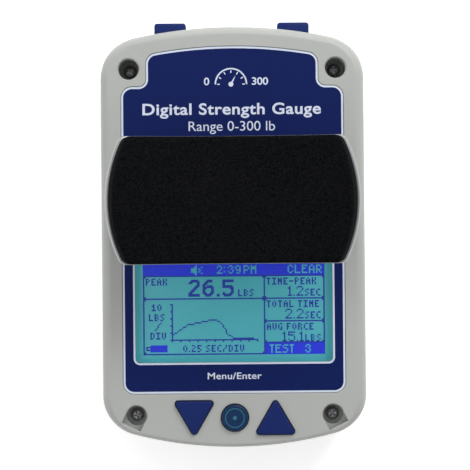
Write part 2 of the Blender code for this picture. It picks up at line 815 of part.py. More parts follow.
def make_rear_shell():
    """Palm-fitting back with a locating lip, and the bosses that carry the works."""
    rim = [
        case_level(PARTING - GAP / 2, 0),
        case_level(PARTING - GAP / 2, LIP),
        case_level(PARTING + LIP_HEIGHT, LIP),
        case_level(PARTING + LIP_HEIGHT, WALL),
    ]
    shell = loft("rear_shell", back_levels(0) + rim + back_levels(WALL)[::-1], CASE_GREY)

    floor = WALL / 2
    board_low = MAIN_BOARD_TOP - BOARD_THICK - GAP
    stands = [(x, y, REAR_BOSS, floor, BUSH_TOP - GAP) for x, y, _ in case_screw_places()]
    stands += [(x, y, BASE_BOSS, floor, BASE_LOW - GAP) for x, y in four(BASE_SCREWS, POST_Y)]
    stands += [(x, y, MAIN_BOSS, floor, board_low) for x, y in main_screw_places()]
    bosses = cylinders("rear_bosses", stands, None)
    inside = back_levels(floor) + [case_level(CASE_DEPTH, floor)]
    boolean(bosses, loft("boss_limit", inside, None), "INTERSECT")
    join(shell, bosses)

    holes = [
        (x, y, CASE_SHANK[0] + GAP, CASE_HOLE_END, BUSH_TOP + MM)
        for x, y, _ in case_screw_places()
    ]
    holes += [
        (x, y, BASE_SHANK[0] + GAP, BASE_HOLE_END, BASE_LOW + MM)
        for x, y in four(BASE_SCREWS, POST_Y)
    ]
    holes += [
        (x, y, BOARD_SHANK[0] + GAP, MAIN_HOLE_END, board_low + MM)
        for x, y in main_screw_places()
    ]
    mouth = [half + USB_CLEARANCE for half in USB_HALF]
    end = -CASE_LENGTH / 2
    rating_room = (RATING_HALF[0] + GAP, RATING_HALF[1] + GAP)
    rating = rounded_rectangle(0, RATING_Y, rating_room, RATING_CORNER + GAP)
    cut(
        shell,
        cylinders("rear_pilots", holes, None, 8),
        box(
            "socket_mouth",
            (-mouth[0], mouth[0]),
            (end - MM, end + 2 * WALL),
            (USB_Z - mouth[1], USB_Z + mouth[1]),
            None,
        ),
        plate("rating_recess", [rating], -MM, RATING_BED, None),
    )
    return shell


def make_face():
    """Printed label, display lens and the label's opening round the post."""
    top = CASE_DEPTH - LABEL_DEPTH
    window = rounded_rectangle(0, DISPLAY_Y, WINDOW_HALF, WINDOW_CORNER)
    post = circle(0, POST_Y, POST_HOLE, POST_HOLE_STEPS)
    plate("face_label", [label_outline(), window, post], top - LABEL_FILM, top, LABEL_BLUE)
    lens = rounded_rectangle(0, DISPLAY_Y, LENS_HALF, LENS_CORNER)
    plate("display_lens", [lens], LENS_TOP - LENS_THICK, LENS_TOP, CLEAR)
    rating = rounded_rectangle(0, RATING_Y, RATING_HALF, RATING_CORNER)
    plate("rating_label", [rating], *RATING_Z, ALUMINIUM)
    low, high = SEAL_Z
    profile = [
        (SEAL_BORE, high),
        (SEAL_RADIUS - 0.7 * MM, high),
        (SEAL_RADIUS, high - 0.5 * MM),
        (SEAL_RADIUS, CASE_DEPTH + GAP / 2),
        (SEAL_SPIGOT, CASE_DEPTH + GAP / 2),
        (SEAL_SPIGOT, low),
        (SEAL_BORE, low),
    ]
    at(turned("post_seal", profile, BLACK_RUBBER, closed=True), 0, POST_Y)


def make_display():
    """Liquid-crystal module: bezel, glass and light guide on their board, four screws."""
    low = LCD_BOARD_TOP + GAP
    inner = (BEZEL_HALF[0] - BEZEL_SHEET, BEZEL_HALF[1] - BEZEL_SHEET)
    opening = (WINDOW_HALF[0] + 2 * GAP, WINDOW_HALF[1] + 2 * GAP)
    outer = rounded_rectangle(0, DISPLAY_Y, BEZEL_HALF, BEZEL_CORNER)
    bezel = plate("lcd_bezel", [outer], low, BEZEL_TOP, STEEL)
    hollow = rounded_rectangle(0, DISPLAY_Y, inner, BEZEL_CORNER - BEZEL_SHEET)
    sight = rounded_rectangle(0, DISPLAY_Y, opening, BEZEL_CORNER)
    ceiling = BEZEL_TOP - BEZEL_SHEET
    cut(
        bezel,
        plate("bezel_hollow", [hollow], low - MM, ceiling, None),
        plate("bezel_sight", [sight], ceiling - MM, BEZEL_TOP + MM, None),
    )
    glass_top = ceiling - GAP
    glass_low = glass_top - GLASS_THICK
    x_span = (-GLASS_HALF[0], GLASS_HALF[0])
    y_span = (DISPLAY_Y - GLASS_HALF[1], DISPLAY_Y + GLASS_HALF[1])
    box("lcd_glass", x_span, y_span, (glass_low, glass_top), DISPLAY)
    guide = box("lcd_backlight", x_span, y_span, (low, glass_low - GAP), BACKLIGHT)
    bevelled(guide, 0.4 * MM)

    board = rounded_rectangle(0, DISPLAY_Y, LCD_BOARD_HALF, BOARD_CORNER)
    places = four(LCD_SCREWS, DISPLAY_Y)
    holes = [circle(x, y, MODULE_SHANK[0] + GAP, 8) for x, y in places]
    plate("lcd_board", [board, *holes], LCD_BOARD_TOP - BOARD_THICK, LCD_BOARD_TOP, BOARD_GREEN)
    for i, (x, y) in enumerate(places, 1):
        place = (x, y, LCD_BOARD_TOP - BOARD_THICK - GAP)
        screw(f"lcd_screw_{i}", place, BOARD_HEAD, MODULE_SHANK, upwards=True)


def make_keypad():
    """Three key caps on a silicone mat, with the small board under it."""
    flange_top = UNDERSIDE - GAP
    flange_low = flange_top - KEY_FLANGE_THICK
    cap_top = CASE_DEPTH + KEY_PROUD
    for kind, x in KEYS.items():
        # The cap starts just above its flange, so that no two faces of the union coincide.
        low = flange_low + MERGE
        cap = plate(f"key_{kind}", [key_outline(kind)], low, cap_top, KEY_BLUE)
        flange = key_outline(kind, KEY_FLANGE)
        join(cap, plate(f"{kind}_flange", [flange], flange_low, flange_top, None))
        move_origin(cap, (x, KEY_Y, CASE_DEPTH))

    mat_low = PAD_BOARD_TOP + GAP
    mat_top = mat_low + MAT_SHEET
    outline = rounded_rectangle(0, KEY_Y, MAT_HALF, MAT_CORNER)
    mat = plate("keypad_mat", [outline], mat_low, mat_top, SILICONE)
    dome_top = flange_low - KEY_TRAVEL - 0.1 * MM
    domes = [(x, KEY_Y, DOME_RADIUS, mat_top - MAT_SHEET / 2, dome_top) for x in KEYS.values()]
    join(mat, cylinders("mat_domes", domes, None, 16))

    board = rounded_rectangle(0, KEY_Y, PAD_BOARD_HALF, BOARD_CORNER)
    places = mirrored(PAD_SCREW_X, KEY_Y)
    holes = [circle(x, y, PAD_SHANK[0] + GAP, 8) for x, y in places]
    low = PAD_BOARD_TOP - BOARD_THICK
    plate("keypad_board", [board, *holes], low, PAD_BOARD_TOP, BOARD_GREEN)
    for (x, y), word in zip(places, ("right", "left")):
        place = (x, y, low - GAP)
        screw(f"keypad_screw_{word}", place, PAD_HEAD, PAD_SHANK, upwards=True)


def move_origin(obj, place):
    """Put an object's origin at place without moving its shape."""
    for vert in obj.data.vertices:
        vert.co -= Vector(place)
    obj.location = place
    return obj


def make_end_buttons():
    """Two push buttons in the crowned end, each over a switch on a narrow board."""
    half = BUTTON_WIDTH / 2
    tall = BUTTON_HEIGHT / 2
    flange_low, flange_high = BUTTON_FLANGE_Y
    stem_tip = flange_low - BUTTON_TRAVEL - GAP
    body_front = stem_tip - STEM_LENGTH
    switch_low = TOP_BOARD_TOP + GAP
    switch_high = switch_low + SWITCH_HEIGHT
    stem_middle = (switch_low + switch_high) / 2 + GAP
    for side, word in SIDES:
        x = side * BUTTON_X
        button = box(
            f"top_button_{word}",
            (x - half, x + half),
            (flange_low + MERGE, BUTTON_END),
            (BUTTON_Z - tall, BUTTON_Z + tall),
            KEY_BLUE,
        )
        flange = box(
            f"{word}_flange",
            (x - half - BUTTON_FLANGE, x + half + BUTTON_FLANGE),
            (flange_low, flange_high),
            (BUTTON_Z - tall - BUTTON_FLANGE, BUTTON_Z + tall + BUTTON_FLANGE),
            None,
        )
        bevelled(button, BUTTON_EDGE)
        join(button, flange)
        move_origin(button, (x, BUTTON_END, BUTTON_Z))
        switch = box(
            f"top_switch_{word}",
            (x - SWITCH_HALF, x + SWITCH_HALF),
            (body_front - SWITCH_DEPTH, body_front),
            (switch_low, switch_high),
            BLACK_PLASTIC,
        )
        stem = box(
            f"{word}_stem",
            (x - STEM_HALF, x + STEM_HALF),
            (body_front - STEM_LENGTH, stem_tip),
            (stem_middle - STEM_HALF, stem_middle + STEM_HALF),
            None,
        )
        join(switch, stem)

    y_low, y_high = TOP_BOARD_Y
    board_half = (TOP_BOARD_HALF, (y_high - y_low) / 2)
    outline = rounded_rectangle(0, (y_low + y_high) / 2, board_half, BOARD_CORNER)
    places = mirrored(*TOP_SCREW)
    holes = [circle(x, y, MODULE_SHANK[0] + GAP, 8) for x, y in places]
    low = TOP_BOARD_TOP - BOARD_THICK
    plate("top_board", [outline, *holes], low, TOP_BOARD_TOP, BOARD_GREEN)
    for (x, y), word in zip(places, ("right", "left")):
        place = (x, y, low - GAP)
        screw(f"top_board_screw_{word}", place, BOARD_HEAD, MODULE_SHANK, upwards=True)


def make_force_sensor():
    """Spool-shaped load cell on a steel base, with the socket that the post plugs into."""
    bolt_radius, bolt_end = CELL_BOLT_HOLE
    outline = rounded_rectangle(0, POST_Y, BASE_HALF, BASE_CORNER)
    places = four(BASE_SCREWS, POST_Y)
    holes = [circle(x, y, BASE_SHANK[0] + GAP, 8) for x, y in places]
    bolt_hole = circle(0, POST_Y, bolt_radius, 16)
    top = BASE_LOW + BASE_THICK
    plate("load_cell_base", [outline, *holes, bolt_hole], BASE_LOW, top, STEEL)
    for i, (x, y) in enumerate(places, 1):
        screw(f"base_screw_{i}", (x, y, top + GAP), BASE_HEAD, BASE_SHANK)
    under = (0, POST_Y, BASE_LOW - GAP)
    screw("cell_bolt", under, CELL_BOLT_HEAD, CELL_BOLT_SHANK, upwards=True)

    socket = BUSH_RADIUS + GAP
    socket_floor = POST_TIP - 0.4 * MM
    foot_top = CELL_LOW + 2.2 * MM
    profile = [
        (0, socket_floor),
        (socket, socket_floor),
        (socket, CELL_TOP),
        (CELL_RADIUS, CELL_TOP),
        (CELL_RADIUS, foot_top + 3.2 * MM),
        (CELL_NECK, foot_top + 2.2 * MM),
        (CELL_NECK, foot_top + MM),
        (CELL_FOOT, foot_top),
        (CELL_FOOT, CELL_LOW),
        (bolt_radius, CELL_LOW),
        (bolt_radius, bolt_end),
        (0, bolt_end),
    ]
    at(turned("load_cell", profile, ALUMINIUM), 0, POST_Y)

    sleeve_low = POST_TIP + 0.1 * MM
    sleeve = [
        (BUSH_BORE, BUSH_TOP),
        (BUSH_FLANGE, BUSH_TOP),
        (BUSH_FLANGE, CELL_TOP + GAP),
        (BUSH_RADIUS, CELL_TOP + GAP),
        (BUSH_RADIUS, sleeve_low),
        (BUSH_BORE, sleeve_low),
    ]
    at(turned("swivel_bush", sleeve, NYLON, closed=True), 0, POST_Y)


def make_post():
    """Post with a flange under the plate, and a grooved spigot that plugs in below."""
    tapped_radius, tapped_end = TAPPED_HOLE
    flange_top = PLATE_FRONT - PLATE_THICK - GAP
    profile = [
        (0, tapped_end),
        (tapped_radius, tapped_end),
        (tapped_radius, flange_top),
        (POST_FLANGE, flange_top),
        (POST_FLANGE, flange_top - 2.2 * MM),
        (POST_RADIUS, flange_top - 4.6 * MM),
        (POST_RADIUS, POST_SHOULDER),
        (SPIGOT_RADIUS, POST_SHOULDER),
        (SPIGOT_RADIUS, GROOVE[1]),
        (GROOVE_RADIUS, GROOVE[1]),
        (GROOVE_RADIUS, GROOVE[0]),
        (SPIGOT_RADIUS, GROOVE[0]),
        (SPIGOT_RADIUS, POST_TIP + SPIGOT_LEAD_IN),
        (SPIGOT_RADIUS - SPIGOT_LEAD_IN, POST_TIP),
        (0, POST_TIP),
    ]
    at(turned("stirrup_post", profile, STEEL), 0, POST_Y)


def make_o_ring():
    radius, cord = RING_RADII
    bpy.ops.mesh.primitive_torus_add(
        major_radius=radius, minor_radius=cord, major_segments=20, minor_segments=6
    )
    made = bpy.context.object
    at(finish("o_ring", made.data, BLACK_RUBBER), 0, POST_Y, sum(GROOVE) / 2)
    bpy.data.objects.remove(made)


def make_stirrup():
    """Curved plate and bonded foam that the limb pushes on, held to the post by a screw."""
    outline = stirrup_outline(PLATE_HALF, PLATE_END_BOW, PLATE_CORNER)
    arch = bend(plate("stirrup_plate", [outline], -PLATE_THICK, 0, ALUMINIUM), PLATE_BEND)
    at(arch, 0, POST_Y, PLATE_FRONT)
    hole = TAPPED_HOLE[0]
    rim, depth = COUNTERSINK
    sink = [(0, MM), (rim, MM), (hole, -depth), (hole, -2 * depth), (0, -2 * depth)]
    cut(arch, at(turned("plate_countersink", sink, None), 0, POST_Y, PLATE_FRONT))

    shank, tip = STIRRUP_SCREW
    head_top = -0.2 * MM
    head = [
        (0, head_top),
        (rim - 1.6 * MM, head_top),
        (shank, -depth),
        (shank, -tip),
        (0, -tip),
    ]
    fixing = at(turned("stirrup_screw", head, STEEL, 20), 0, POST_Y, PLATE_FRONT)
    hexagon = circle(0, 0, HEX_RADIUS, 6)
    recess = plate("hex_recess", [hexagon], head_top - HEX_DEPTH, MM, None)
    cut(fixing, at(recess, 0, POST_Y, PLATE_FRONT))

    outline = stirrup_outline(FOAM_HALF, PLATE_END_BOW, PLATE_CORNER)
    pad = plate("foam_pad", [outline], GAP, FOAM_THICK, FOAM_BLACK)
    at(bend(pad, PLATE_BEND), 0, POST_Y, PLATE_FRONT)


def make_main_board():
    """Main board on its four screws, with the beeper on it."""
    y_low, y_high = MAIN_BOARD_Y
    half = (MAIN_BOARD_HALF, (y_high - y_low) / 2)
    outline = rounded_rectangle(0, (y_low + y_high) / 2, half, BOARD_CORNER)
    places = main_screw_places()
    holes = [circle(x, y, BOARD_SHANK[0] + GAP, 8) for x, y in places]
    low = MAIN_BOARD_TOP - BOARD_THICK
    plate("main_board", [outline, *holes], low, MAIN_BOARD_TOP, BOARD_GREEN)
    for i, (x, y) in enumerate(places, 1):
        place = (x, y, MAIN_BOARD_TOP + GAP)
        screw(f"board_screw_{i}", place, BOARD_HEAD, BOARD_SHANK)

    radius, height = BEEPER_SIZE
    port = MM
    sunk = height - 0.6 * MM
    profile = [(0, sunk), (port, sunk), (port, height), (radius, height), (radius, 0), (0, 0)]
    at(turned("beeper", profile, BLACK_PLASTIC, 20), *BEEPER, MAIN_BOARD_TOP + GAP)


def make_battery():
    x_half, y_half = BATTERY_HALF
    y_span = (BATTERY_Y - y_half, BATTERY_Y + y_half)
    cell = box("battery", (-x_half, x_half), y_span, BATTERY_Z, CELL_WRAP)
    bevelled(cell, BATTERY_EDGE)


def make_socket():
    """Socket behind the low end's opening, as one hollow shell with its tongue."""
    x_half, z_half = USB_HALF
    y_low, y_high = USB_Y
    shell = box(
        "usb_socket", (-x_half, x_half), USB_Y, (USB_Z - z_half, USB_Z + z_half), STEEL
    )
    cavity = box(
        "socket_cavity",
        (-x_half + USB_SKIN, x_half - USB_SKIN),
        (y_low - MM, y_high - 1.2 * MM),
        (USB_Z - z_half + USB_SKIN, USB_Z + z_half - USB_SKIN),
        None,
    )
    x_half, z_half = USB_TONGUE
    tongue = box(
        "socket_tongue",
        (-x_half, x_half),
        (y_low + 0.8 * MM, y_high - 0.6 * MM),
        (USB_Z - z_half, USB_Z + z_half),
        None,
    )
    cut(shell, cavity)
    join(shell, tongue)


def make_leads():
    """Leads of the sensor and the battery, and the ribbon behind the display."""
    edge = MAIN_BOARD_Y[1]
    top = MAIN_BOARD_TOP
    sensor = [
        (-12 * MM, POST_Y - 7.5 * MM, 13.8 * MM),
        (-13.5 * MM, POST_Y - 11 * MM, 14.6 * MM),
        (-14 * MM, edge + 5 * MM, 17.8 * MM),
        (-14 * MM, edge - 1 * MM, top + 1.6 * MM),
        (-14 * MM, edge - 5 * MM, top + 1.4 * MM),
    ]
    lead("sensor_lead", sensor, LEAD_RADIUS, BLACK_PLASTIC)
    cell_end = BATTERY_Y + BATTERY_HALF[1]
    battery = [
        (9 * MM, cell_end + 0.4 * MM, 9 * MM),
        (9 * MM, cell_end + 3 * MM, 9.6 * MM),
        (10 * MM, edge + 2.2 * MM, 14 * MM),
        (11 * MM, edge + 1.4 * MM, top + 0.6 * MM),
        (11.5 * MM, edge - 2 * MM, top + 1.4 * MM),
        (12 * MM, edge - 5 * MM, top + 1.3 * MM),
    ]
    lead("battery_lead", battery, LEAD_RADIUS, BLACK_PLASTIC)

    low = top + GAP + 0.2 * MM
    high = LCD_BOARD_TOP - BOARD_THICK - GAP - 0.2 * MM
    y_bow = edge - 8 * MM
    y_end = y_bow - 6 * MM
    half = (high - low) / 2
    bow = [
        (y_bow + u * RIBBON_BOW, low + half + v * half)
        for u, v in arc(0, 0, 1, -math.pi / 2, math.pi / 2, 6)
    ]
    route = [(y_end, low), *bow, (y_end, high)]
    ribbon("display_ribbon", route, RIBBON_WIDTH, RIBBON_THICK, NYLON)


def make_case_screws():
    for i, (x, y, seat) in enumerate(case_screw_places(), 1):
        screw(f"case_screw_{i}", (x, y, seat + GAP), CASE_HEAD, CASE_SHANK)


make_front_shell()
make_rear_shell()
make_face()
make_display()
make_keypad()
make_end_buttons()
make_force_sensor()
make_post()
make_o_ring()
make_stirrup()
make_main_board()
make_battery()
make_socket()
make_leads()
make_case_screws()
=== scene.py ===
"""Looks of a hand-held dynamometer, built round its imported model.

Shapes are laid out in millimetres from the middle of the case, then published in metres
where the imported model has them. +X is to the right of the display, +Y towards the end
buttons and +Z out of the face.
"""

import json
import math

import bmesh
import bpy
from mathutils import Matrix, Vector


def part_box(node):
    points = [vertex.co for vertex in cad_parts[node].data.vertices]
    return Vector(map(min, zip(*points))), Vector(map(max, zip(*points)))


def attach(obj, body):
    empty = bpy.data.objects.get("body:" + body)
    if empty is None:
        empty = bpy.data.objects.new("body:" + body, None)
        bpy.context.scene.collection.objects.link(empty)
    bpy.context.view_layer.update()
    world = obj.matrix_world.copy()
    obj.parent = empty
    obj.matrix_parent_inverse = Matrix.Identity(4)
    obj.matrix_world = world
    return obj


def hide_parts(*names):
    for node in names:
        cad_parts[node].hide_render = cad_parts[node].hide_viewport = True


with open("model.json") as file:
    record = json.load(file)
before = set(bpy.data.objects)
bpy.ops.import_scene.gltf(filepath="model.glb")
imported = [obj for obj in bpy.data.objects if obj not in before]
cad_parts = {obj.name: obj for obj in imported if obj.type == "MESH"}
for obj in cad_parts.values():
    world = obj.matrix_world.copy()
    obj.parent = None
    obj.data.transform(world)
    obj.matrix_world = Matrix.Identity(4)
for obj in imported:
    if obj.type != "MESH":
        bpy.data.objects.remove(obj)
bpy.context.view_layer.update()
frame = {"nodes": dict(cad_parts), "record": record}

# ------------------------------------------------------------ places in the frame


def box_mm(node):
    low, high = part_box(node)
    return low * 1000, high * 1000


def middle(node):
    low, high = box_mm(node)
    return (low + high) / 2


CASE_Y = middle("front_shell").y
FACE = box_mm("front_shell")[1].z
POST_Y = middle("stirrup_post").y - CASE_Y
DISPLAY_Y = middle("display_lens").y - CASE_Y
KEY_Y = middle("key_select").y - CASE_Y
KEYS = {kind: middle(f"key_{kind}").x for kind in ("down", "select", "up")}
CASE_SIZE = box_mm("front_shell")[1] - box_mm("front_shell")[0]
SCREWS = [middle(f"case_screw_{i}") - Vector((0, CASE_Y, 0)) for i in range(1, 5)]
GLASS_TOP = box_mm("lcd_glass")[1].z

# ------------------------------------------------------------ sizes that the shapes share

GAP = 0.3
PARTING = 20.0
WALL = 2.2
UNDERSIDE = FACE - 2.6
INTO_FACE = UNDERSIDE + 0.7
SIDE, TOP, LOW = 0, 1, 2  # places in a triple of insets
DRAFT = (0.60, 0.95, 1.15)  # how far the front shell's wall leans in below its shoulder
SHOULDER = (2.9, 2.9, 2.1)  # and where the shoulder meets the face
SHOULDER_DROP = 3.6
CORNER_GROWTH = 2.0
INNER_DRAFT = 0.35  # the same two on the inside of the shell, where the working parts are
INNER_SHOULDER = 2.9
LIP = 1.1
LIP_HEIGHT = 1.0
BACK_EDGE = (10.0, 13.0)
LABEL_BED = FACE - 0.8
FILM_TOP = FACE - 0.15
PRINT = 0.02
WELL = 3.15
LOWER_POCKET = 31.0
SEATS = {True: 24.0, False: 28.0}  # floor of an upper well, then of a lower one
WINDOW = (30.3, 16.2)
DOT = 0.4377
PLATE_FRONT = 53.0
PLATE_BEND = 104.0


# ------------------------------------------------------------ outlines


def arc(x, y, radius, start, end, steps):
    turn = (end - start) / steps
    return [
        (x + radius * math.cos(start + turn * i), y + radius * math.sin(start + turn * i))
        for i in range(steps + 1)
    ]


def circle(x, y, radius, steps=64):
    return arc(x, y, radius, 0, math.tau, steps)[:-1]


def filleted(corners, steps=10):
    """Closed outline through corners (x, y, radius)."""
    points = []
    for i, (x, y, radius) in enumerate(corners):
        if not radius:
            points.append((x, y))
            continue
        before = corners[i - 1]
        after = corners[(i + 1) % len(corners)]
        back = math.atan2(before[1] - y, before[0] - x)
        ahead = math.atan2(after[1] - y, after[0] - x)
        opening = math.remainder(ahead - back, math.tau)
        bisector = back + opening / 2
        reach = radius / math.sin(abs(opening) / 2)
        side = math.copysign(math.pi - abs(opening), opening)
        points += arc(
            x + reach * math.cos(bisector),
            y + reach * math.sin(bisector),
            radius,
            bisector + math.pi + side / 2,
            bisector + math.pi - side / 2,
            steps,
        )
    return points


def rounded_rectangle(x, y, half, radius, steps=8):
    corners = [(1, 1), (-1, 1), (-1, -1), (1, -1)]
    return filleted([(x + a * half[0], y + b * half[1], radius) for a, b in corners], steps)


def bowed_quarter(flat, apex, bow, corner, corner_steps, bow_steps):
    """u, v and outward angle from a flat side, round a corner, to the apex of a bow."""
    centre = apex - bow
    turn = math.acos((flat - corner) / (bow - corner))
    corner_v = centre + (bow - corner) * math.sin(turn)
    for i in range(corner_steps + 1):
        angle = turn * i / corner_steps
        yield flat - corner + corner * math.cos(angle), corner_v + corner * math.sin(angle), angle
    for i in range(1, bow_steps + 1):
        angle = turn + (math.pi / 2 - turn) * i / bow_steps
        yield bow * math.cos(angle), centre + bow * math.sin(angle), angle


def case_level(z, insets, rounder=0.0):
    """The case's outline at height z, moved in by one inset or by (side, top, low) insets.

    The radius of the two upper corners grows by rounder."""
    if not isinstance(insets, tuple):
        insets = (insets,) * 3
    flat = CASE_SIZE.x / 2
    apex = CASE_SIZE.y / 2
    top = list(bowed_quarter(flat, apex, 144.5, 12.0 + rounder, 18, 14))
    low = list(bowed_quarter(flat, apex, 122.5, 13.4, 18, 14))

    def place(u, v, angle, side, end):
        turn = (top if end > 0 else low)[18][2]
        share = min(angle / turn, 1.0)
        share = share * share * (3 - 2 * share)
        depth = insets[SIDE] + (insets[TOP if end > 0 else LOW] - insets[SIDE]) * share
        return side * (u - depth * math.cos(angle)), end * (v - depth * math.sin(angle)), z

    return (
        [place(*point, 1, 1) for point in top]
        + [place(*point, -1, 1) for point in reversed(top[:-1])]
        + [place(*point, -1, -1) for point in low]
        + [place(*point, 1, -1) for point in reversed(low[:-1])]
    )


def label_outline(grow=0.0):
    """Outline of the face label, with a notch beside each upper case screw."""
    half = 34.0 + grow
    low = -47.75 - grow
    notch_x = 26.3 + grow
    notch_y = 46.25 + grow
    outer = 3.3 + grow
    inner = 2.3 - grow
    bow = 140.0 + grow
    shoulder = math.asin(notch_x / bow)
    start = math.pi / 2 - shoulder
    crown = arc(0, 58.5 - 140.0, bow, start, math.pi - start, 14)
    right = [(half, low, outer), (half, notch_y, outer), (notch_x, notch_y, inner)]
    left = [(-x, y, radius) for x, y, radius in reversed(right)]
    ends = [(*crown[0], outer), *((*point, 0) for point in crown[1:-1]), (*crown[-1], outer)]
    return filleted(right + ends + left)


def key_outline(kind, grow=0.0):
    if kind == "select":
        return circle(0, KEY_Y, 4.05 + grow)
    radius = 0.8 + grow
    side = 12.6 + grow * 2 * math.sqrt(3)
    height = side * math.sqrt(3) / 2 - radius
    direction = 1 if kind == "up" else -1
    base = KEY_Y - direction * 5.15 - direction * grow
    x = KEYS[kind]
    corners = [
        (x - direction * side / 2, base, radius),
        (x + direction * side / 2, base, radius),
        (x, base + direction * (height + radius), radius),
    ]
    return filleted(corners)


def pocket_outline(side, grow=0.0):
    """Round-ended pocket of a lower well, cut off square towards the case corner."""
    well = SCREWS[3]
    half = WELL + grow
    reach = -3.8 - grow
    shape = arc(0, 0, half, 0, math.pi, 24) + [(-half, reach), (half, reach)]
    turn = math.radians(26.3)
    turned = [
        (u * math.cos(turn) - v * math.sin(turn), u * math.sin(turn) + v * math.cos(turn))
        for u, v in shape
    ]
    return [(side * (well.x + u), well.y + v) for u, v in turned][::side]


def stirrup_outline(half, inset):
    """Long outline with straight long sides and bowed ends, moved in by inset."""
    quarter = list(
        bowed_quarter(half[1] - inset, half[0] - inset, 40.0 - inset, 2.6 - inset, 8, 14)
    )
    right_top = [(v, u) for u, v, _ in reversed(quarter)]
    left_top = [(-v, u) for u, v, _ in quarter]
    low = [(x, -y) for x, y in reversed(right_top[1:] + left_top[:-1])]
    return right_top + left_top + low


# ------------------------------------------------------------ meshes


def scratch(name, mesh):
    obj = bpy.data.objects.new(name, mesh)
    bpy.context.scene.collection.objects.link(obj)
    return obj


def mesh_from(name, bm):
    bmesh.ops.recalc_face_normals(bm, faces=bm.faces)
    if bm.calc_volume(signed=True) < 0:
        bmesh.ops.reverse_faces(bm, faces=bm.faces)
    mesh = bpy.data.meshes.new(name)
    bm.to_mesh(mesh)
    bm.free()
    return mesh


def loft(name, levels):
    """Closed solid through rings of equal length, capped at its two ends."""
    bm = bmesh.new()
    rings = [[bm.verts.new(point) for point in level] for level in levels]
    for near, far in zip(rings, rings[1:]):
        for i in range(len(near)):
            j = (i + 1) % len(near)
            bm.faces.new((near[i], near[j], far[j], far[i]))
    bm.faces.new(rings[0])
    bm.faces.new(rings[-1])
    return scratch(name, mesh_from(name, bm))


def stack(name, outline, steps):
    """Loft of outline(grow) at the given steps (z, grow)."""
    return loft(name, [[(x, y, z) for x, y in outline(grow)] for z, grow in steps])


def prism(name, outlines, low, high):
    """Flat plate between two heights; an outline inside another is a hole in it."""
    curve = bpy.data.curves.new(name, "CURVE")
    curve.dimensions = "2D"
    curve.fill_mode = "BOTH"
    curve.extrude = (high - low) / 2
    for outline in outlines:
        spline = curve.splines.new("POLY")
        spline.points.add(len(outline) - 1)
        for point, (x, y) in zip(spline.points, outline):
            point.co = (x, y, 0, 1)
        spline.use_cyclic_u = True
    return from_curve(name, curve, (0, 0, (high + low) / 2))


def from_curve(name, curve, shift):
    guide = scratch(name + "_curve", curve)
    bpy.context.view_layer.update()
    mesh = bpy.data.meshes.new_from_object(
        guide.evaluated_get(bpy.context.evaluated_depsgraph_get())
    )
    bpy.data.objects.remove(guide)
    bm = bmesh.new()
    bm.from_mesh(mesh)
    bmesh.ops.remove_doubles(bm, verts=bm.verts, dist=1e-4)
    bmesh.ops.translate(bm, verts=bm.verts, vec=shift)
    return scratch(name, mesh_from(name, bm))


def turned(name, profile, x=0.0, y=0.0, segments=64):
    """Solid turned about an upright axis through (x, y), from (radius, height) points."""
    bm = bmesh.new()
    open_profile = profile[0][0] == 0 and profile[-1][0] == 0
    rings = []
    for radius, height in profile:
        if radius == 0:
            rings.append([bm.verts.new((x, y, height))])
            continue
        rings.append([bm.verts.new((px, py, height)) for px, py in circle(x, y, radius, segments)])
    pairs = list(zip(rings, rings[1:]))
    if not open_profile:
        pairs.append((rings[-1], rings[0]))
    for near, far in pairs:
        for i in range(segments):
            j = (i + 1) % segments
            corners = [near[i % len(near)], near[j % len(near)]]
            corners += [far[j % len(far)], far[i % len(far)]]
            unique = list(dict.fromkeys(corners))
            if len(unique) > 2:
                bm.faces.new(unique)
    return scratch(name, mesh_from(name, bm))


def rounded_box(name, x, y, z, radius, segments=5):
    bm = bmesh.new()
    bmesh.ops.create_cube(bm, size=1)
    bmesh.ops.scale(bm, vec=(x[1] - x[0], y[1] - y[0], z[1] - z[0]), verts=bm.verts)
    centre = (sum(x) / 2, sum(y) / 2, sum(z) / 2)
    bmesh.ops.translate(bm, vec=centre, verts=bm.verts)
    if radius:
        bmesh.ops.bevel(
            bm, geom=bm.edges[:], offset=radius, segments=segments, profile=0.5, affect="EDGES"
        )
    return scratch(name, mesh_from(name, bm))


def cylinders(name, stands, segments=32):
    """Upright cylinders (x, y, radius, low, high) in one mesh."""
    bm = bmesh.new()
    for x, y, radius, low, high in stands:
        made = bmesh.ops.create_cone(
            bm, cap_ends=True, segments=segments, radius1=radius, radius2=radius, depth=high - low
        )
        bmesh.ops.translate(bm, vec=(x, y, (low + high) / 2), verts=made["verts"])
    return scratch(name, mesh_from(name, bm))


def combined(obj, others, operation):
    """obj after Boolean operations with the others, which are used up."""
    for other in others:
        modifier = obj.modifiers.new(other.name, "BOOLEAN")
        modifier.operation = operation
        modifier.object = other
    bpy.context.view_layer.update()
    graph = bpy.context.evaluated_depsgraph_get()
    obj_mesh = bpy.data.meshes.new_from_object(obj.evaluated_get(graph))
    obj.modifiers.clear()
    obj.data = obj_mesh
    for other in others:
        bpy.data.objects.remove(other)
    return obj


def cut(obj, *others):
    return combined(obj, others, "DIFFERENCE")


def join(obj, *others):
    return combined(obj, others, "UNION")


def bend(obj, radius, strips=72):
    """Curl a flat piece towards +Z about an axis along Y, radius above its z = 0."""
    bm = bmesh.new()
    bm.from_mesh(obj.data)
    reach = max(vert.co.x for vert in bm.verts)
    for i in range(1, strips):
        whole = bm.verts[:] + bm.edges[:] + bm.faces[:]
        station = reach * (2 * i / strips - 1)
        bmesh.ops.bisect_plane(bm, geom=whole, plane_co=(station, 0, 0), plane_no=(1, 0, 0))
    for vert in bm.verts:
        angle = vert.co.x / radius
        arm = radius - vert.co.z
        vert.co.x = arm * math.sin(angle)
        vert.co.z = radius - arm * math.cos(angle)
    bm.to_mesh(obj.data)
    bm.free()
    return obj


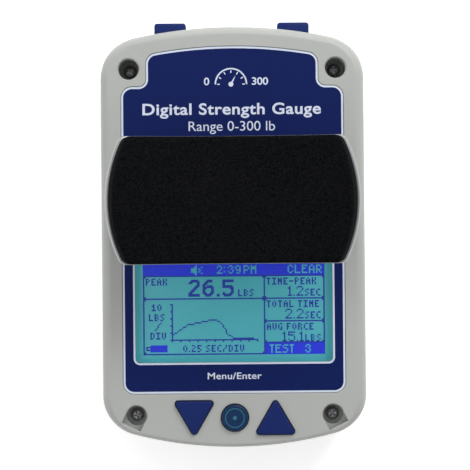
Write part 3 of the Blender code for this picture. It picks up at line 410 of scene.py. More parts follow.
def publish(obj, material, body, *nodes, slot=None, crease=28, padded=None):
    """Move a scratch piece to its place in metres, finish it and let it ride on a body."""
    scale = Matrix.Scale(0.001, 4)
    obj.data.transform(scale @ Matrix.Translation((0, CASE_Y, 0)) @ obj.matrix_world)
    obj.matrix_world = Matrix.Identity(4)
    obj.data.materials.clear()
    obj.data.materials.append(material)
    obj.data.shade_smooth()
    obj.data.set_sharp_from_angle(angle=math.radians(crease))
    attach(obj, body)
    if nodes:
        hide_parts(*nodes)
    return obj


# ------------------------------------------------------------ materials


class Nodes:
    """Short way to add linked nodes to one material."""

    def __init__(self, name):
        self.material = bpy.data.materials.new(name)
        self.material.use_nodes = True
        self.tree = self.material.node_tree
        self.surface = self.tree.nodes["Principled BSDF"]
        self.place = self.add("ShaderNodeTexCoord").outputs["Object"]

    def add(self, kind, inputs=None, **settings):
        node = self.tree.nodes.new(kind)
        for key, value in settings.items():
            setattr(node, key, value)
        for key, value in (inputs or {}).items():
            if isinstance(value, bpy.types.NodeSocket):
                self.tree.links.new(value, node.inputs[key])
            else:
                node.inputs[key].default_value = value
        return node

    def link(self, value, socket):
        self.tree.links.new(value, self.surface.inputs[socket])

    def stretched(self, scale):
        """Object coordinates scaled per axis, for grain that runs one way."""
        return self.add("ShaderNodeMapping", {"Vector": self.place, "Scale": scale}).outputs[0]

    def noise(self, size, detail=3.0, roughness=0.5, place=None):
        """Noise whose features are about size millimetres across."""
        inputs = {
            "Vector": place or self.place,
            "Scale": 1000.0 / size,
            "Detail": detail,
            "Roughness": roughness,
        }
        return self.add("ShaderNodeTexNoise", inputs).outputs["Fac"]

    def spread(self, value, low, high, begin=0.3, end=0.7):
        inputs = {0: value, 1: begin, 2: end, 3: low, 4: high}
        return self.add("ShaderNodeMapRange", inputs).outputs[0]

    def colours(self, value, first, second):
        inputs = {"Factor": value, 6: (*first, 1.0), 7: (*second, 1.0)}
        return self.add("ShaderNodeMix", inputs, data_type="RGBA").outputs[2]

    def bump(self, height, millimetres, strength=1.0, normal=None):
        inputs = {"Height": height, "Distance": millimetres / 1000.0, "Strength": strength}
        if normal is not None:
            inputs["Normal"] = normal
        return self.add("ShaderNodeBump", inputs).outputs[0]


def shade(colour, factor):
    return tuple(min(1.0, part * factor) for part in colour)


def grained(name, colour, contrast, patch, roughness, grain, relief, **sockets):
    """Moulded or coated surface: soft colour patches under a fine grain.

    contrast is the share by which patches differ, patch and grain are feature sizes and
    relief is the grain's height, all in millimetres; roughness is a (low, high) pair."""
    nodes = Nodes(name)
    patches = nodes.noise(patch)
    fine = nodes.noise(grain, detail=2.0)
    tone = nodes.spread(patches, 0.0, 1.0)
    nodes.link(
        nodes.colours(tone, shade(colour, 1 - contrast), shade(colour, 1 + contrast)),
        "Base Color",
    )
    nodes.link(nodes.spread(fine, *roughness), "Roughness")
    nodes.link(nodes.bump(fine, relief), "Normal")
    for key, value in sockets.items():
        nodes.surface.inputs[key.replace("_", " ")].default_value = value
    return nodes.material


def brushed(name, colour, roughness, stretch, relief=0.006):
    """Metal with fine lines along the axis whose stretch is smallest."""
    nodes = Nodes(name)
    lines = nodes.noise(1.0, detail=4.0, roughness=0.6, place=nodes.stretched(stretch))
    stains = nodes.noise(14.0)
    nodes.link(nodes.colours(lines, shade(colour, 0.88), shade(colour, 1.06)), "Base Color")
    rough = nodes.add("ShaderNodeMath", {0: lines, 1: stains}, operation="MULTIPLY").outputs[0]
    nodes.link(nodes.spread(rough, *roughness, 0.1, 0.45), "Roughness")
    nodes.link(nodes.bump(lines, relief), "Normal")
    nodes.surface.inputs["Metallic"].default_value = 1.0
    return nodes.material


def foam_material(name):
    """Closed-cell foam: fine pores under a matt skin that has picked up a little dust."""
    nodes = Nodes(name)
    pores = nodes.add(
        "ShaderNodeTexVoronoi", {"Vector": nodes.place, "Scale": 2600.0}
    ).outputs["Distance"]
    skin = nodes.noise(1.4, detail=5.0, roughness=0.65)
    worn = nodes.noise(11.0, detail=4.0)
    grit = nodes.noise(0.5, detail=1.0)
    mottle = nodes.add("ShaderNodeMath", {0: worn, 1: 0.25, 2: skin}, operation="MULTIPLY_ADD")
    mottle = nodes.add(
        "ShaderNodeMath", {0: mottle.outputs[0], 1: 0.45, 2: grit}, operation="MULTIPLY_ADD"
    )
    tone = nodes.spread(mottle.outputs[0], 0.0, 1.0, 0.53, 1.03)
    nodes.link(nodes.colours(tone, (0.0004, 0.0008, 0.0014), (0.0078, 0.0080, 0.0088)), "Base Color")
    nodes.link(nodes.spread(skin, 0.72, 0.92), "Roughness")
    nodes.link(nodes.bump(pores, 0.10, 0.6, nodes.bump(skin, 0.12, 0.6)), "Normal")
    nodes.surface.inputs["Specular IOR Level"].default_value = 0.03
    return nodes.material


def glowing(name, colour, glow, contrast, patch):
    """Backlit glass: its own colour, and an even glow of that colour."""
    nodes = Nodes(name)
    tone = nodes.spread(nodes.noise(patch), 0.0, 1.0)
    pair = shade(colour, 1 - contrast), shade(colour, 1 + contrast)
    nodes.link(nodes.colours(tone, *pair), "Base Color")
    nodes.link(nodes.colours(tone, *pair), "Emission Color")
    nodes.surface.inputs["Emission Strength"].default_value = glow
    nodes.link(nodes.spread(nodes.noise(2.0), 0.30, 0.40), "Roughness")
    return nodes.material


def lens_material(name):
    """Clear window: light goes straight through it, with a reflection by angle."""
    nodes = Nodes(name)
    fresnel = nodes.add("ShaderNodeFresnel", {"IOR": 1.49}).outputs[0]
    inside = nodes.add("ShaderNodeNewGeometry").outputs["Backfacing"]
    shine = nodes.add("ShaderNodeMix", {"Factor": inside, 2: fresnel, 3: 0.0}).outputs[0]
    clear = nodes.add("ShaderNodeBsdfTransparent", {"Color": (0.96, 0.985, 0.98, 1.0)})
    haze = nodes.spread(nodes.noise(6.0), 0.04, 0.09)
    gloss = nodes.add("ShaderNodeBsdfGlossy", {"Roughness": haze})
    mix = nodes.add(
        "ShaderNodeMixShader", {0: shine, 1: clear.outputs[0], 2: gloss.outputs[0]}
    )
    output = next(node for node in nodes.tree.nodes if node.type == "OUTPUT_MATERIAL")
    nodes.tree.links.new(mix.outputs[0], output.inputs["Surface"])
    nodes.tree.nodes.remove(nodes.surface)
    return nodes.material


def paper_material(name):
    """White sweep of paper, which glows a little near the object and more far from it."""
    nodes = Nodes(name)
    fibres = nodes.noise(3.0)
    nodes.link(nodes.colours(fibres, (0.84, 0.84, 0.84), (0.86, 0.86, 0.86)), "Base Color")
    nodes.link(nodes.spread(fibres, 0.75, 0.85), "Roughness")
    distance = nodes.add("ShaderNodeVectorMath", {0: nodes.place}, operation="LENGTH")
    glow = nodes.spread(distance.outputs["Value"], 0.46, 1.05, 0.35, 1.30)
    nodes.link(glow, "Emission Strength")
    nodes.surface.inputs["Emission Color"].default_value = (1.0, 1.0, 1.0, 1.0)
    nodes.surface.inputs["Specular IOR Level"].default_value = 0.0
    return nodes.material


CASE = grained("case_plastic", (0.392, 0.402, 0.384), 0.018, 24.0, (0.42, 0.56), 0.32, 0.010)
FILM = grained(
    "label_film", (0.0022, 0.0095, 0.0830), 0.05, 30.0, (0.30, 0.38), 1.2, 0.001, Specular_IOR_Level=0.16
)
WHITE_INK = grained("white_ink", (0.58, 0.63, 0.76), 0.03, 6.0, (0.40, 0.52), 0.2, 0.002)
LILAC_INK = grained("pale_ink", (0.58, 0.64, 0.76), 0.03, 6.0, (0.40, 0.52), 0.2, 0.002)
KEY_BLUE = grained(
    "key_plastic", (0.0050, 0.0170, 0.1120), 0.05, 5.0, (0.38, 0.50), 0.25, 0.004, Specular_IOR_Level=0.16
)
SELECT_BLUE = grained(
    "select_plastic", (0.004, 0.026, 0.085), 0.06, 3.0, (0.32, 0.44), 0.25, 0.004, Specular_IOR_Level=0.2
)
TEAL_INK = grained("teal_ink", (0.014, 0.130, 0.170), 0.05, 2.0, (0.40, 0.50), 0.2, 0.002)
RUBBER = grained("seal_rubber", (0.020, 0.020, 0.021), 0.10, 5.0, (0.62, 0.80), 0.3, 0.010)
SILICONE = grained("mat_silicone", (0.16, 0.16, 0.17), 0.06, 6.0, (0.60, 0.75), 0.3, 0.008)
NYLON = grained("bush_nylon", (0.66, 0.65, 0.59), 0.03, 6.0, (0.45, 0.58), 0.3, 0.006)
BLACK = grained("black_plastic", (0.022, 0.022, 0.023), 0.10, 4.0, (0.42, 0.56), 0.25, 0.008)
BOARD = grained("circuit_board", (0.010, 0.110, 0.045), 0.22, 1.6, (0.35, 0.48), 0.8, 0.020)
WRAP = grained("cell_wrap", (0.040, 0.100, 0.280), 0.05, 9.0, (0.28, 0.40), 2.5, 0.030)
GUIDE = grained("light_guide", (0.74, 0.78, 0.76), 0.03, 8.0, (0.40, 0.50), 0.4, 0.004)
STEEL = brushed("steel", (0.54, 0.54, 0.55), (0.24, 0.42), (1.0, 1.0, 14.0))
ALUMINIUM = brushed("aluminium", (0.36, 0.37, 0.375), (0.36, 0.50), (0.6, 12.0, 12.0))
SCREW_STEEL = brushed("screw_steel", (0.36, 0.36, 0.38), (0.28, 0.42), (3.0, 3.0, 3.0), 0.02)
SILVER_FILM = brushed("silver_film", (0.62, 0.63, 0.64), (0.36, 0.50), (0.5, 9.0, 9.0), 0.003)
FOAM = foam_material("pad_foam")
PANEL = glowing("display_teal", (0.044, 0.275, 0.325), 0.58, 0.05, 22.0)
DOTS = glowing("display_dots", (0.001, 0.010, 0.260), 0.45, 0.04, 9.0)
BAR_DOTS = glowing("display_bar_dots", (0.004, 0.008, 0.440), 0.70, 0.04, 9.0)
LENS = lens_material("display_window")

SLOT_MATERIALS = {
    "steel": STEEL,
    "aluminium": ALUMINIUM,
    "circuit_board": BOARD,
    "silicone": SILICONE,
    "black_rubber": RUBBER,
    "nylon": NYLON,
    "black_plastic": BLACK,
    "cell_wrap": WRAP,
    "light_guide": GUIDE,
}
for part in frame["record"]["subparts"]:
    mesh = frame["nodes"][part["node"]].data
    chosen = SLOT_MATERIALS.get(part["material_slot"])
    for i in range(len(mesh.materials)):
        if chosen:
            mesh.materials[i] = chosen

# ------------------------------------------------------------ case


def mirrored(x, y):
    return [(x, y), (-x, y)]


def four(x, y, centre_y):
    return mirrored(x, centre_y + y) + mirrored(x, centre_y - y)


def front_levels():
    rebate = PARTING + LIP_HEIGHT + GAP
    foot = PARTING + GAP / 2
    inner = INNER_DRAFT + WALL
    ceiling = INNER_SHOULDER + 0.7 * WALL
    eaves = inner + GAP
    levels = [
        case_level(UNDERSIDE, (ceiling, ceiling, inner)),
        case_level(UNDERSIDE - SHOULDER_DROP / 2, (eaves, eaves, inner)),
        case_level(rebate, WALL),
        case_level(rebate, LIP - GAP),
        case_level(foot, LIP - GAP),
        case_level(foot, 0.35),
        case_level(foot + 0.10, 0.10),
        case_level(foot + 0.35, 0.0),
    ]
    sweep = math.radians(66)
    steps = 10
    for i in range(steps + 1):
        angle = sweep * i / steps
        rise = math.sin(angle) / math.sin(sweep)
        run = (1 - math.cos(angle)) / (1 - math.cos(sweep))
        z = FACE - SHOULDER_DROP + (SHOULDER_DROP - 0.13) * rise
        insets = tuple(draft + (end - draft) * run for draft, end in zip(DRAFT, SHOULDER))
        levels.append(case_level(z, insets, CORNER_GROWTH))
    for i in range(1, 5):
        share = i / 4
        z = FACE - 0.13 * (1 - share) ** 2
        insets = tuple(end + 0.6 * share for end in SHOULDER)
        levels.append(case_level(z, insets, CORNER_GROWTH))
    levels.append(case_level(FACE, tuple(end + 1.4 for end in SHOULDER), CORNER_GROWTH))
    return levels


def make_front_case():
    case = loft("front_case", front_levels())
    over = FACE + 0.5
    stands = [(well.x, well.y, 4.9, 22.3, INTO_FACE) for well in SCREWS]
    stands += [(x, y, 2.3, 25.9, INTO_FACE) for x, y in four(35.0, 23.85, DISPLAY_Y)]
    stands += [(x, y, 1.9, 28.7, INTO_FACE) for x, y in mirrored(22.5, KEY_Y)]
    stands += [(x, y, 2.2, 24.1, INTO_FACE) for x, y in mirrored(9.0, 49.0)]
    floors = [
        prism(f"floor_{side}", [pocket_outline(side, 1.2)], LOWER_POCKET - 1.2, INTO_FACE)
        for side in (-1, 1)
    ]
    join(case, cylinders("bosses", stands), *floors)

    rim = [(LABEL_BED, 0.15), (FACE - 0.12, 0.15), (over, 0.77)]
    opening = [(UNDERSIDE - 1, 0.25), (FACE - 0.15, 0.25), (over, 0.90)]
    cutters = [
        stack("label_bed", label_outline, rim),
        prism("lens_bed", [rounded_rectangle(0, DISPLAY_Y, (32.3, 18.5), 1.5)], 32.9, FACE),
        prism("window", [rounded_rectangle(0, DISPLAY_Y, WINDOW, 1.4)], UNDERSIDE - 1, FACE),
        cylinders("post_hole", [(0, POST_Y, 8.0, UNDERSIDE - 1, over)], 64),
    ]
    for kind in KEYS:
        cutters.append(stack(f"{kind}_hole", lambda grow, k=kind: key_outline(k, grow), opening))
    for i, well in enumerate(SCREWS):
        profile = [
            (0, SEATS[well.y > 0]),
            (WELL, SEATS[well.y > 0]),
            (WELL, FACE - 0.35),
            (WELL + 0.85, over),
            (0, over),
        ]
        cutters.append(turned(f"well_{i}", profile, well.x, well.y, 48))
    for side in (-1, 1):
        steps = [(LOWER_POCKET, 0.0), (FACE - 0.2, 0.0), (over, 0.7)]
        cutters.append(stack(f"pocket_{side}", lambda grow, s=side: pocket_outline(s, grow), steps))
    pilots = [(well.x, well.y, 1.6, PARTING, SEATS[well.y > 0] + 1) for well in SCREWS]
    pilots += [(x, y, 1.4, PARTING, 30.5) for x, y in four(35.0, 23.85, DISPLAY_Y)]
    pilots += [(x, y, 1.1, PARTING, 31.5) for x, y in mirrored(22.5, KEY_Y)]
    pilots += [(x, y, 1.4, PARTING, 30.0) for x, y in mirrored(9.0, 49.0)]
    cutters.append(cylinders("pilots", pilots, 16))
    for side in (-1, 1):
        x = side * 19.0
        cutters.append(
            rounded_box(f"slot_{side}", (x - 5.15, x + 5.15), (58.8, 67.3), (23.75, 30.25), 0.4, 2)
        )
    for cutter in cutters:
        cut(case, cutter)
    publish(case, CASE, "instrument", "front_shell", slot="case_grey")


def back_levels(depth, steps=14):
    width, height = BACK_EDGE
    levels = []
    for i in range(steps + 1):
        angle = math.pi / 2 * i / steps
        z = height - (height - depth) * math.cos(angle)
        levels.append(case_level(z, width - (width - depth) * math.sin(angle)))
    return levels


def make_rear_case():
    top = PARTING - GAP / 2
    rim = [
        case_level(top - 0.35, 0.0),
        case_level(top - 0.10, 0.10),
        case_level(top, 0.35),
        case_level(top, LIP),
        case_level(PARTING + LIP_HEIGHT - 0.15, LIP),
        case_level(PARTING + LIP_HEIGHT, LIP + 0.15),
        case_level(PARTING + LIP_HEIGHT, WALL),
    ]
    foot = [case_level(0, BACK_EDGE[0] + 1.5)]
    case = loft("rear_case", foot + back_levels(0) + rim + back_levels(WALL)[::-1])
    floor = WALL / 2
    stands = [(well.x, well.y, 4.2, floor, 22.0) for well in SCREWS]
    stands += [(x, y, 3.4, floor, 6.7) for x, y in four(24.0, 14.0, POST_Y)]
    board = mirrored(22.0, -57.0) + mirrored(22.0, -17.2)
    stands += [(x, y, 2.6, floor, 15.2) for x, y in board]
    bosses = cylinders("rear_bosses", stands, 24)
    limit = loft("limit", back_levels(floor) + [case_level(FACE, floor)])
    combined(bosses, [limit], "INTERSECT")
    join(case, bosses)
    holes = [(well.x, well.y, 1.55, 11.0, 25.0) for well in SCREWS]
    holes += [(x, y, 1.7, 1.6, 8.0) for x, y in four(24.0, 14.0, POST_Y)]
    holes += [(x, y, 1.4, 6.0, 16.2) for x, y in board]
    socket = middle("usb_socket")
    end = -CASE_SIZE.y / 2
    rating = middle("rating_label").y - CASE_Y
    bed = [(-0.5, 0.95), (0.25, 0.2), (0.7, 0.2)]
    cut(
        case,
        cylinders("rear_holes", holes, 16),
        rounded_box(
            "mouth", (-5.05, 5.05), (end - 1, end + 4.4), (socket.z - 2.2, socket.z + 2.2), 0.7, 4
        ),
        stack(
            "rating_bed",
            lambda grow: rounded_rectangle(0, rating, (22.0 + grow, 14.0 + grow), 2.0),
            bed,
        ),
    )
    publish(case, CASE, "instrument", "rear_shell", slot="case_grey")
    plate = prism("rating_plate", [rounded_rectangle(0, rating, (22.0, 14.0), 1.8)], 0.15, 0.4)
    publish(plate, SILVER_FILM, "instrument", "rating_label", slot="aluminium")


# ------------------------------------------------------------ face, display, print


def ring(name, outline, outer, inner, low, high):
    return prism(name, [outline(outer), outline(inner)], low, high)


def window_outline(grow):
    half = (WINDOW[0] + grow, WINDOW[1] + grow)
    return rounded_rectangle(0, DISPLAY_Y, half, 1.4 + grow)


def make_face():
    hole = circle(0, POST_Y, 8.0)
    outlines = [label_outline(), window_outline(0), hole]
    film = prism("label_film", outlines, FILM_TOP - 0.35, FILM_TOP)
    publish(film, FILM, "instrument", "face_label", slot="label_blue")
    low, high = FILM_TOP - 0.01, FILM_TOP + PRINT
    border = ring("label_border", label_outline, 0.0, -0.58, low, high)
    publish(border, LILAC_INK, "instrument")
    border = ring("window_border", window_outline, 0.55, 0.0, low, high)
    publish(border, WHITE_INK, "instrument")
    lens = stack(
        "display_window",
        lambda grow: rounded_rectangle(0, DISPLAY_Y, (32.0 + grow, 18.2 + grow), 1.2 + grow),
        [(33.2, -0.15), (33.35, 0.0), (34.05, 0.0), (34.2, -0.15)],
    )
    publish(lens, LENS, "instrument", "display_lens", slot="clear_acrylic")
    seal = [
        (5.45, 36.0),
        (5.65, 36.2),
        (8.45, 36.2),
        (8.85, 36.08),
        (9.15, 35.8),
        (9.3, 35.4),
        (9.3, 35.15),
        (7.7, 35.15),
        (7.7, 32.6),
        (5.45, 32.6),
    ]
    ring_seal = turned("post_gaiter", seal, 0, POST_Y, 72)
    publish(ring_seal, RUBBER, "instrument", "post_seal", slot="black_rubber")


def lettering(name, text, x0, x1, base, height, weight, widen=1.0):
    """Printed words from x0 to x1 with capitals of that height, widened and spaced to fit."""
    curve = bpy.data.curves.new(name, "FONT")
    curve.body = text
    curve.fill_mode = "BOTH"
    curve.resolution_u = 6
    guide = scratch(name + "_guide", curve)
    curve.body = "H"
    bpy.context.view_layer.update()
    curve.size = height / guide.dimensions.y
    curve.body = text
    curve.offset = weight
    widths = []
    for spacing in (1.0, 1.2):
        curve.space_character = spacing
        bpy.context.view_layer.update()
        widths.append(guide.dimensions.x)
    growth = (widths[1] - widths[0]) / 0.2
    if growth > 0:
        curve.space_character = 1.0 + ((x1 - x0) / widen - widths[0]) / growth
    curve.extrude = PRINT / 2
    bpy.context.view_layer.update()
    left = min(corner[0] for corner in guide.bound_box)
    copy = curve.copy()
    bpy.data.objects.remove(guide)
    words = from_curve(name, copy, (-left, base, FILM_TOP + PRINT / 2))
    words.data.transform(Matrix.Translation((x0, 0, 0)) @ Matrix.Diagonal((widen, 1, 1, 1)))
    publish(words, WHITE_INK, "instrument")


def make_print():
    lettering("title_print", "Digital Strength Gauge", -27.5, 27.2, 37.7, 3.3, 0.10, 1.16)
    lettering("range_print", "Range 0-300 lb", -13.4, 13.1, 32.65, 2.9, 0.0, 1.05)
    lettering("legend_print", "Menu/Enter", -8.2, 8.3, -43.45, 1.95, 0.035, 1.18)
    lettering("scale_low_print", "0", -8.6, -6.8, 46.7, 2.2, 0.05, 1.1)
    lettering("scale_high_print", "300", 6.1, 11.1, 46.7, 2.2, 0.05, 1.1)
    make_dial_print(-0.3, 46.9)


def make_dial_print(x, y, radius=5.0):
    """Half dial over (x, y), with seven ticks and a needle."""
    low, high = FILM_TOP - 0.01, FILM_TOP + PRINT

    def at(distance, angle, aside=0.0):
        along, across = math.cos(angle), math.sin(angle)
        return x + distance * along - aside * across, y + distance * across + aside * along

    rim = arc(x, y, radius, 0, math.pi, 40) + arc(x, y, radius - 0.45, math.pi, 0, 40)
    near, far = radius - 1.55, radius - 0.75
    half = 0.16
    corners = ((near, -half), (far, -half), (far, half), (near, half))
    ticks = [[at(reach, math.pi * i / 6, aside) for reach, aside in corners] for i in range(7)]
    lean = math.radians(62)
    needle = [at(0, lean, -0.35), at(3.1, lean), at(0, lean, 0.35)]
    hub = circle(x, y, 0.75, 32)
    publish(prism("gauge_scale", [rim, *ticks], low, high), WHITE_INK, "instrument")
    publish(prism("gauge_needle", [needle], low, high), WHITE_INK, "instrument")
    publish(prism("gauge_hub", [hub], low, high + 0.005), WHITE_INK, "instrument")


# One digit per row of a glyph, in base 2 to the power of the font's width; two hexadecimal
# digits per row in the widest.
FONTS = {
    3: {
        "A": "25755", "B": "65656", "C": "34443", "D": "65556", "E": "74647", "F": "74644",
        "G": "34553", "I": "72227", "K": "55655", "L": "44447", "M": "57755", "O": "25552",
        "P": "65644", "R": "65655", "S": "34216", "T": "72222", "U": "55557", "V": "55552",
        "-": "00700", "/": "11244", ".": "00004", "0": "25552", "1": "26227", "2": "61247",
        "5": "74616",
    },
    4: {
        "A": "699f99", "C": "698896", "E": "f8e88f", "L": "88888f", "M": "9ff999",
        "P": "e99e88", "R": "e99ea9", "S": "78611e", "T": "e44444", ":": "080080",
        ".": "000008", "2": "69124f", "3": "692196", "5": "f8e196", "6": "78e996",
        "9": "699716",
    },
    5: {"1": "4c4444e", "2": "eh1248v", "5": "vgu11he", ".": "000000g"},
    8: {
        "2": "3e7fe303070e1c3870e0ffff", "6": "1e3e70e0deffe3c3c3e77e3c",
        "5": "ffffc0c0feff070303c7fe7c", ".": "00000000000000000000c0c0",
    },
}


def glyph_cells(text, width):
    """Cells that a line of text takes, from column 0, and its length."""
    found = []
    column = 0
    for character in text:
        if character == " ":
            column += width - 1
            continue
        glyph = FONTS[width][character]
        if width == 8:
            rows = list(bytes.fromhex(glyph))
        else:
            rows = [int(digit, 2**width) for digit in glyph]
        used = [i for i in range(width) if any(row >> (width - 1 - i) & 1 for row in rows)]
        for down, row in enumerate(rows):
            for i in used:
                if row >> (width - 1 - i) & 1:
                    found.append((column + i - used[0], down))
        column += used[-1] - used[0] + 1 + (2 if width == 8 else 1)
    return found, column - 1


class Screen:
    """Graphic display of 128 by 64 dots, drawn as the dark dots and those of filled bars."""

    def __init__(self):
        self.dark = set()
        self.bars = set()

    def fill(self, left, top, right, low):
        for column in range(left, right + 1):
            for row in range(top, low + 1):
                self.bars.add((column, row))

    def line(self, points):
        for (x0, y0), (x1, y1) in zip(points, points[1:]):
            steps = max(abs(x1 - x0), abs(y1 - y0), 1)
            for i in range(steps + 1):
                share = i / steps
                self.dark.add((round(x0 + (x1 - x0) * share), round(y0 + (y1 - y0) * share)))

    def write(self, text, column, row, width, right=False, light=False):
        cells, length = glyph_cells(text, width)
        start = column - length + 1 if right else column
        placed = {(start + across, row + down) for across, down in cells}
        if light:
            self.bars -= placed
        else:
            self.dark |= placed

    def frame(self, left, top, right, low):
        """Box with its inner corners rounded."""
        corners = [(left, top), (right, top), (right, low), (left, low), (left, top)]
        self.line(corners)
        for column, row in (
            (left + 1, top + 1), (right - 1, top + 1), (left + 1, low - 1), (right - 1, low - 1)
        ):
            self.dark.add((column, row))


def make_readout():
    screen = Screen()
    screen.fill(0, 0, 127, 8)
    screen.write("2:", 52, 1, 4, light=True)
    screen.write("39", 60, 1, 4, light=True)
    screen.write("PM", 71, 1, 4, light=True)
    screen.write("CLEAR", 125, 1, 4, right=True, light=True)
    for column, rows in ((34, (3, 5)), (35, (3, 5)), (36, (2, 6)), (37, (1, 7))):
        screen.bars -= {(column, row) for row in range(rows[0], rows[1] + 1)}
    screen.bars -= {(39, 3), (39, 5), (41, 2), (40, 4), (41, 6)}
    for left, top, right, low in (
        (0, 8, 85, 24), (0, 24, 85, 63), (85, 8, 127, 24), (85, 24, 127, 40), (85, 40, 127, 55)
    ):
        screen.frame(left, top, right, low)
    screen.fill(85, 55, 127, 63)
    screen.write("PEAK", 2, 10, 3)
    screen.write("26.5", 32, 11, 8)
    screen.write("LBS", 67, 18, 3)
    for label, value, unit, row in (
        ("TIME-PEAK", "1.2", "SEC", 10),
        ("TOTAL TIME", "2.2", "SEC", 26),
        ("AVG FORCE", "15.1", "LBS", 42),
    ):
        screen.write(label, 87, row, 3)
        screen.write(value, 112, row + 6, 5, right=True)
        screen.write(unit, 114, row + 8, 3)
    screen.write("TEST", 89, 57, 4, light=True)
    screen.write("3", 114, 57, 4, light=True)
    screen.write("10", 6, 28, 3)
    screen.write("LBS", 4, 35, 3)
    screen.line([(8, 46), (12, 41)])
    screen.write("DIV", 5, 48, 3)
    screen.line([(20, 28), (20, 53), (80, 53)])
    for row in range(28, 54, 5):
        screen.dark.add((19, row))
    for column in range(20, 81, 6):
        screen.dark.add((column, 54))
    screen.line(
        [(20, 50), (24, 47), (28, 44), (32, 42), (38, 41), (44, 40), (46, 39), (51, 39)]
        + [(54, 41), (57, 45), (59, 49), (62, 51), (64, 52), (75, 52), (79, 53)]
    )
    screen.fill(5, 57, 16, 61)
    screen.line([(4, 58), (2, 58), (2, 60), (4, 60)])
    screen.write("0.25 SEC/DIV", 28, 57, 3)
    return screen


def make_display():
    low, high = box_mm("lcd_glass")
    panel = rounded_box(
        "display_panel",
        (low.x, high.x),
        (low.y - CASE_Y, high.y - CASE_Y),
        (low.z, high.z),
        0.2,
        2,
    )
    publish(panel, PANEL, "instrument", "lcd_glass", slot="display_glass")
    screen = make_readout()
    reach = (DOT - 0.012) / 2
    corners = [(-reach, -reach), (reach, -reach), (reach, reach), (-reach, reach)]
    for name, dots, material in (
        ("display_readout", screen.dark, DOTS),
        ("display_bars", screen.bars - screen.dark, BAR_DOTS),
    ):
        bm = bmesh.new()
        for column, row in sorted(dots):
            x = (column - 63.5) * DOT
            y = DISPLAY_Y + (31.5 - row) * DOT
            bm.faces.new([bm.verts.new((x + a, y + b, GLASS_TOP + 0.02)) for a, b in corners])
        publish(scratch(name, mesh_from(name, bm)), material, "instrument")


# ------------------------------------------------------------ keys, buttons, screws


def make_keys():
    steps = [
        (31.0, 0.6), (32.1, 0.6), (32.1, 0.0), (35.75, 0.0), (35.93, -0.03), (36.06, -0.10),
        (36.14, -0.22), (36.18, -0.38), (36.2, -0.60),
    ]
    for kind in KEYS:
        name = {"down": "down_key", "select": "select_key", "up": "up_key"}[kind]
        cap = stack(name, lambda grow, k=kind: key_outline(k, grow), steps)
        material = SELECT_BLUE if kind == "select" else KEY_BLUE
        publish(cap, material, f"key_{kind}", f"key_{kind}", slot="key_blue")
    low, high = 36.19, 36.2 + PRINT
    mark = prism("select_ring", [circle(0, KEY_Y, 3.0), circle(0, KEY_Y, 2.72)], low, high)
    publish(mark, TEAL_INK, "key_select")
    mark = prism("select_dot", [circle(0, KEY_Y, 0.62, 32)], low, high)
    publish(mark, TEAL_INK, "key_select")


def make_end_buttons():
    for word in ("left", "right"):
        low, high = box_mm(f"top_button_{word}")
        x = (low.x + high.x) / 2
        z = (low.z + high.z) / 2
        y_end = high.y - CASE_Y
        button = rounded_box(
            f"end_button_{word}", (x - 4.9, x + 4.9), (58.9, y_end), (z - 3, z + 3), 0.9
        )
        flange = rounded_box(
            f"flange_{word}", (x - 5.9, x + 5.9), (58.8, 60.0), (z - 4, z + 4), 0.2, 2
        )
        join(button, flange)
        publish(
            button, KEY_BLUE, f"top_button_{word}", f"top_button_{word}", slot="key_blue"
        )


def make_case_screws():
    head = [
        (0, 1.4), (0.6, 1.39), (1.1, 1.33), (1.5, 1.17), (1.78, 0.9), (1.92, 0.55), (1.95, 0.2),
        (1.88, 0.0), (1.25, 0.0), (1.25, -11.6), (0.9, -12.0), (0, -12.0),
    ]
    for i, well in enumerate(SCREWS, 1):
        screw = turned(f"cross_screw_{i}", head, segments=40)
        turn = Matrix.Rotation(math.radians(17 + 31 * i), 4, "Z")
        for quarter in range(2):
            slot = loft(
                f"slot_{i}_{quarter}",
                [
                    [(a * 0.62, b * 0.15, 0.35) for a, b in ((1, 1), (-1, 1), (-1, -1), (1, -1))],
                    [(a * 1.15, b * 0.24, 1.5) for a, b in ((1, 1), (-1, 1), (-1, -1), (1, -1))],
                ],
            )
            slot.data.transform(turn @ Matrix.Rotation(quarter * math.pi / 2, 4, "Z"))
            cut(screw, slot)
        seat = SEATS[well.y > 0] + GAP
        screw.data.transform(Matrix.Translation((well.x, well.y, seat)))
        publish(screw, SCREW_STEEL, "instrument", f"case_screw_{i}", slot="steel")


# ------------------------------------------------------------ stirrup


def make_post():
    top = PLATE_FRONT - 2.0 - GAP
    profile = [
        (0, 39.0), (2.6, 39.0), (2.6, top), (7.75, top), (8.0, top - 0.25), (8.0, top - 1.95),
        (7.85, top - 2.2), (5.3, top - 4.4), (5.05, top - 4.7), (5.0, top - 5.1), (5.0, 22.9),
        (4.7, 22.6), (3.95, 22.6), (3.95, 17.0), (3.0, 17.0), (3.0, 15.6), (3.95, 15.6),
        (3.95, 14.3), (3.15, 13.5), (0, 13.5),
    ]
    post = turned("post", profile, 0, POST_Y, 72)
    publish(post, STEEL, "stirrup", "stirrup_post", slot="steel")


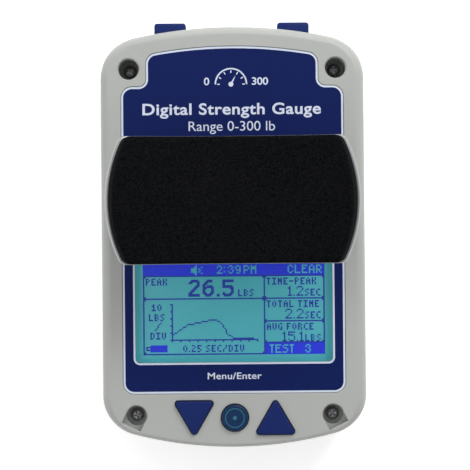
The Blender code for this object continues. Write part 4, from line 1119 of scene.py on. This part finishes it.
def make_pad():
    """Curved plate and its bonded foam, shaped flat and then bent."""
    half = (38.1, 19.05)
    steps = [(-2.0, 0.45), (-1.9, 0.2), (-1.7, 0.05), (-1.5, 0.0), (-0.5, 0.0), (-0.3, 0.05)]
    steps += [(-0.1, 0.2), (0.0, 0.45)]
    levels = [[(x, y, z) for x, y in stirrup_outline(half, inset)] for z, inset in steps]
    plate = loft("stirrup_bar", levels)
    sink = [(0, 1), (5.7, 1), (2.6, -2.1), (2.6, -4), (0, -4)]
    cut(plate, turned("countersink", sink))
    bend(plate, PLATE_BEND)
    plate.data.transform(Matrix.Translation((0, POST_Y, PLATE_FRONT)))
    publish(plate, ALUMINIUM, "stirrup", "stirrup_plate", slot="aluminium")

    half = (37.7, 18.8)
    steps = [(0.3, 0.10), (0.8, 0.02), (2.4, 0.0), (3.9, 0.03), (4.4, 0.14), (4.72, 0.36)]
    steps += [(4.9, 0.68), (4.98, 1.1), (5.0, 1.7)]
    levels = [[(x, y, z) for x, y in stirrup_outline(half, inset)] for z, inset in steps]
    foam = bend(loft("pad_foam", levels), PLATE_BEND)
    foam.data.transform(Matrix.Translation((0, POST_Y, PLATE_FRONT)))
    publish(foam, FOAM, "stirrup", "foam_pad", slot="black_foam", padded=1.0)


# ------------------------------------------------------------ studio


def make_studio():
    bm = bmesh.new()
    bmesh.ops.create_grid(bm, x_segments=1, y_segments=1, size=40)
    bmesh.ops.translate(bm, verts=bm.verts, vec=(0, 0, -0.0003))
    floor = scratch("floor", mesh_from("floor", bm))
    floor.data.materials.append(paper_material("paper"))

    world = bpy.data.worlds.new("studio")
    world.use_nodes = True
    background = world.node_tree.nodes["Background"]
    background.inputs["Color"].default_value = (0.97, 0.98, 1.0, 1.0)
    background.inputs["Strength"].default_value = 0.04
    bpy.context.scene.world = world

    for name, place, size, power in (
        ("key", (0.34, 0.54, 0.48), 0.28, 3.0),
        ("overhead", (0.0, 0.0, 1.30), 2.40, 4.7),
        ("top_panel", (0.0, 0.70, 0.60), 1.10, 4.0),
        ("left_panel", (-0.68, 0.05, 0.60), 1.10, 4.1),
        ("right_panel", (0.68, 0.05, 0.60), 1.10, 2.4),
        ("low_panel", (0.0, -0.70, 0.60), 1.10, 1.2),
    ):
        light = bpy.data.lights.new(name, "AREA")
        light.shape = "SQUARE"
        light.size = size
        light.energy = power
        lamp = scratch(name, light)
        lamp.location = place
        lamp.rotation_euler = (-Vector(place)).to_track_quat("-Z", "Y").to_euler()

    camera = bpy.data.cameras.new("camera")
    camera.sensor_width = 36.0
    camera.lens = 150.0
    camera.clip_start = 0.01
    eye = scratch("camera", camera)
    eye.location = (0.00053, 0.00037, 0.635)
    eye.rotation_euler = (0, 0, math.radians(-0.514))
    bpy.context.scene.camera = eye
    bpy.context.scene.view_settings.view_transform = "Standard"


make_front_case()
make_rear_case()
make_face()
make_print()
make_display()
make_keys()
make_end_buttons()
make_case_screws()
make_post()
make_pad()
make_studio()
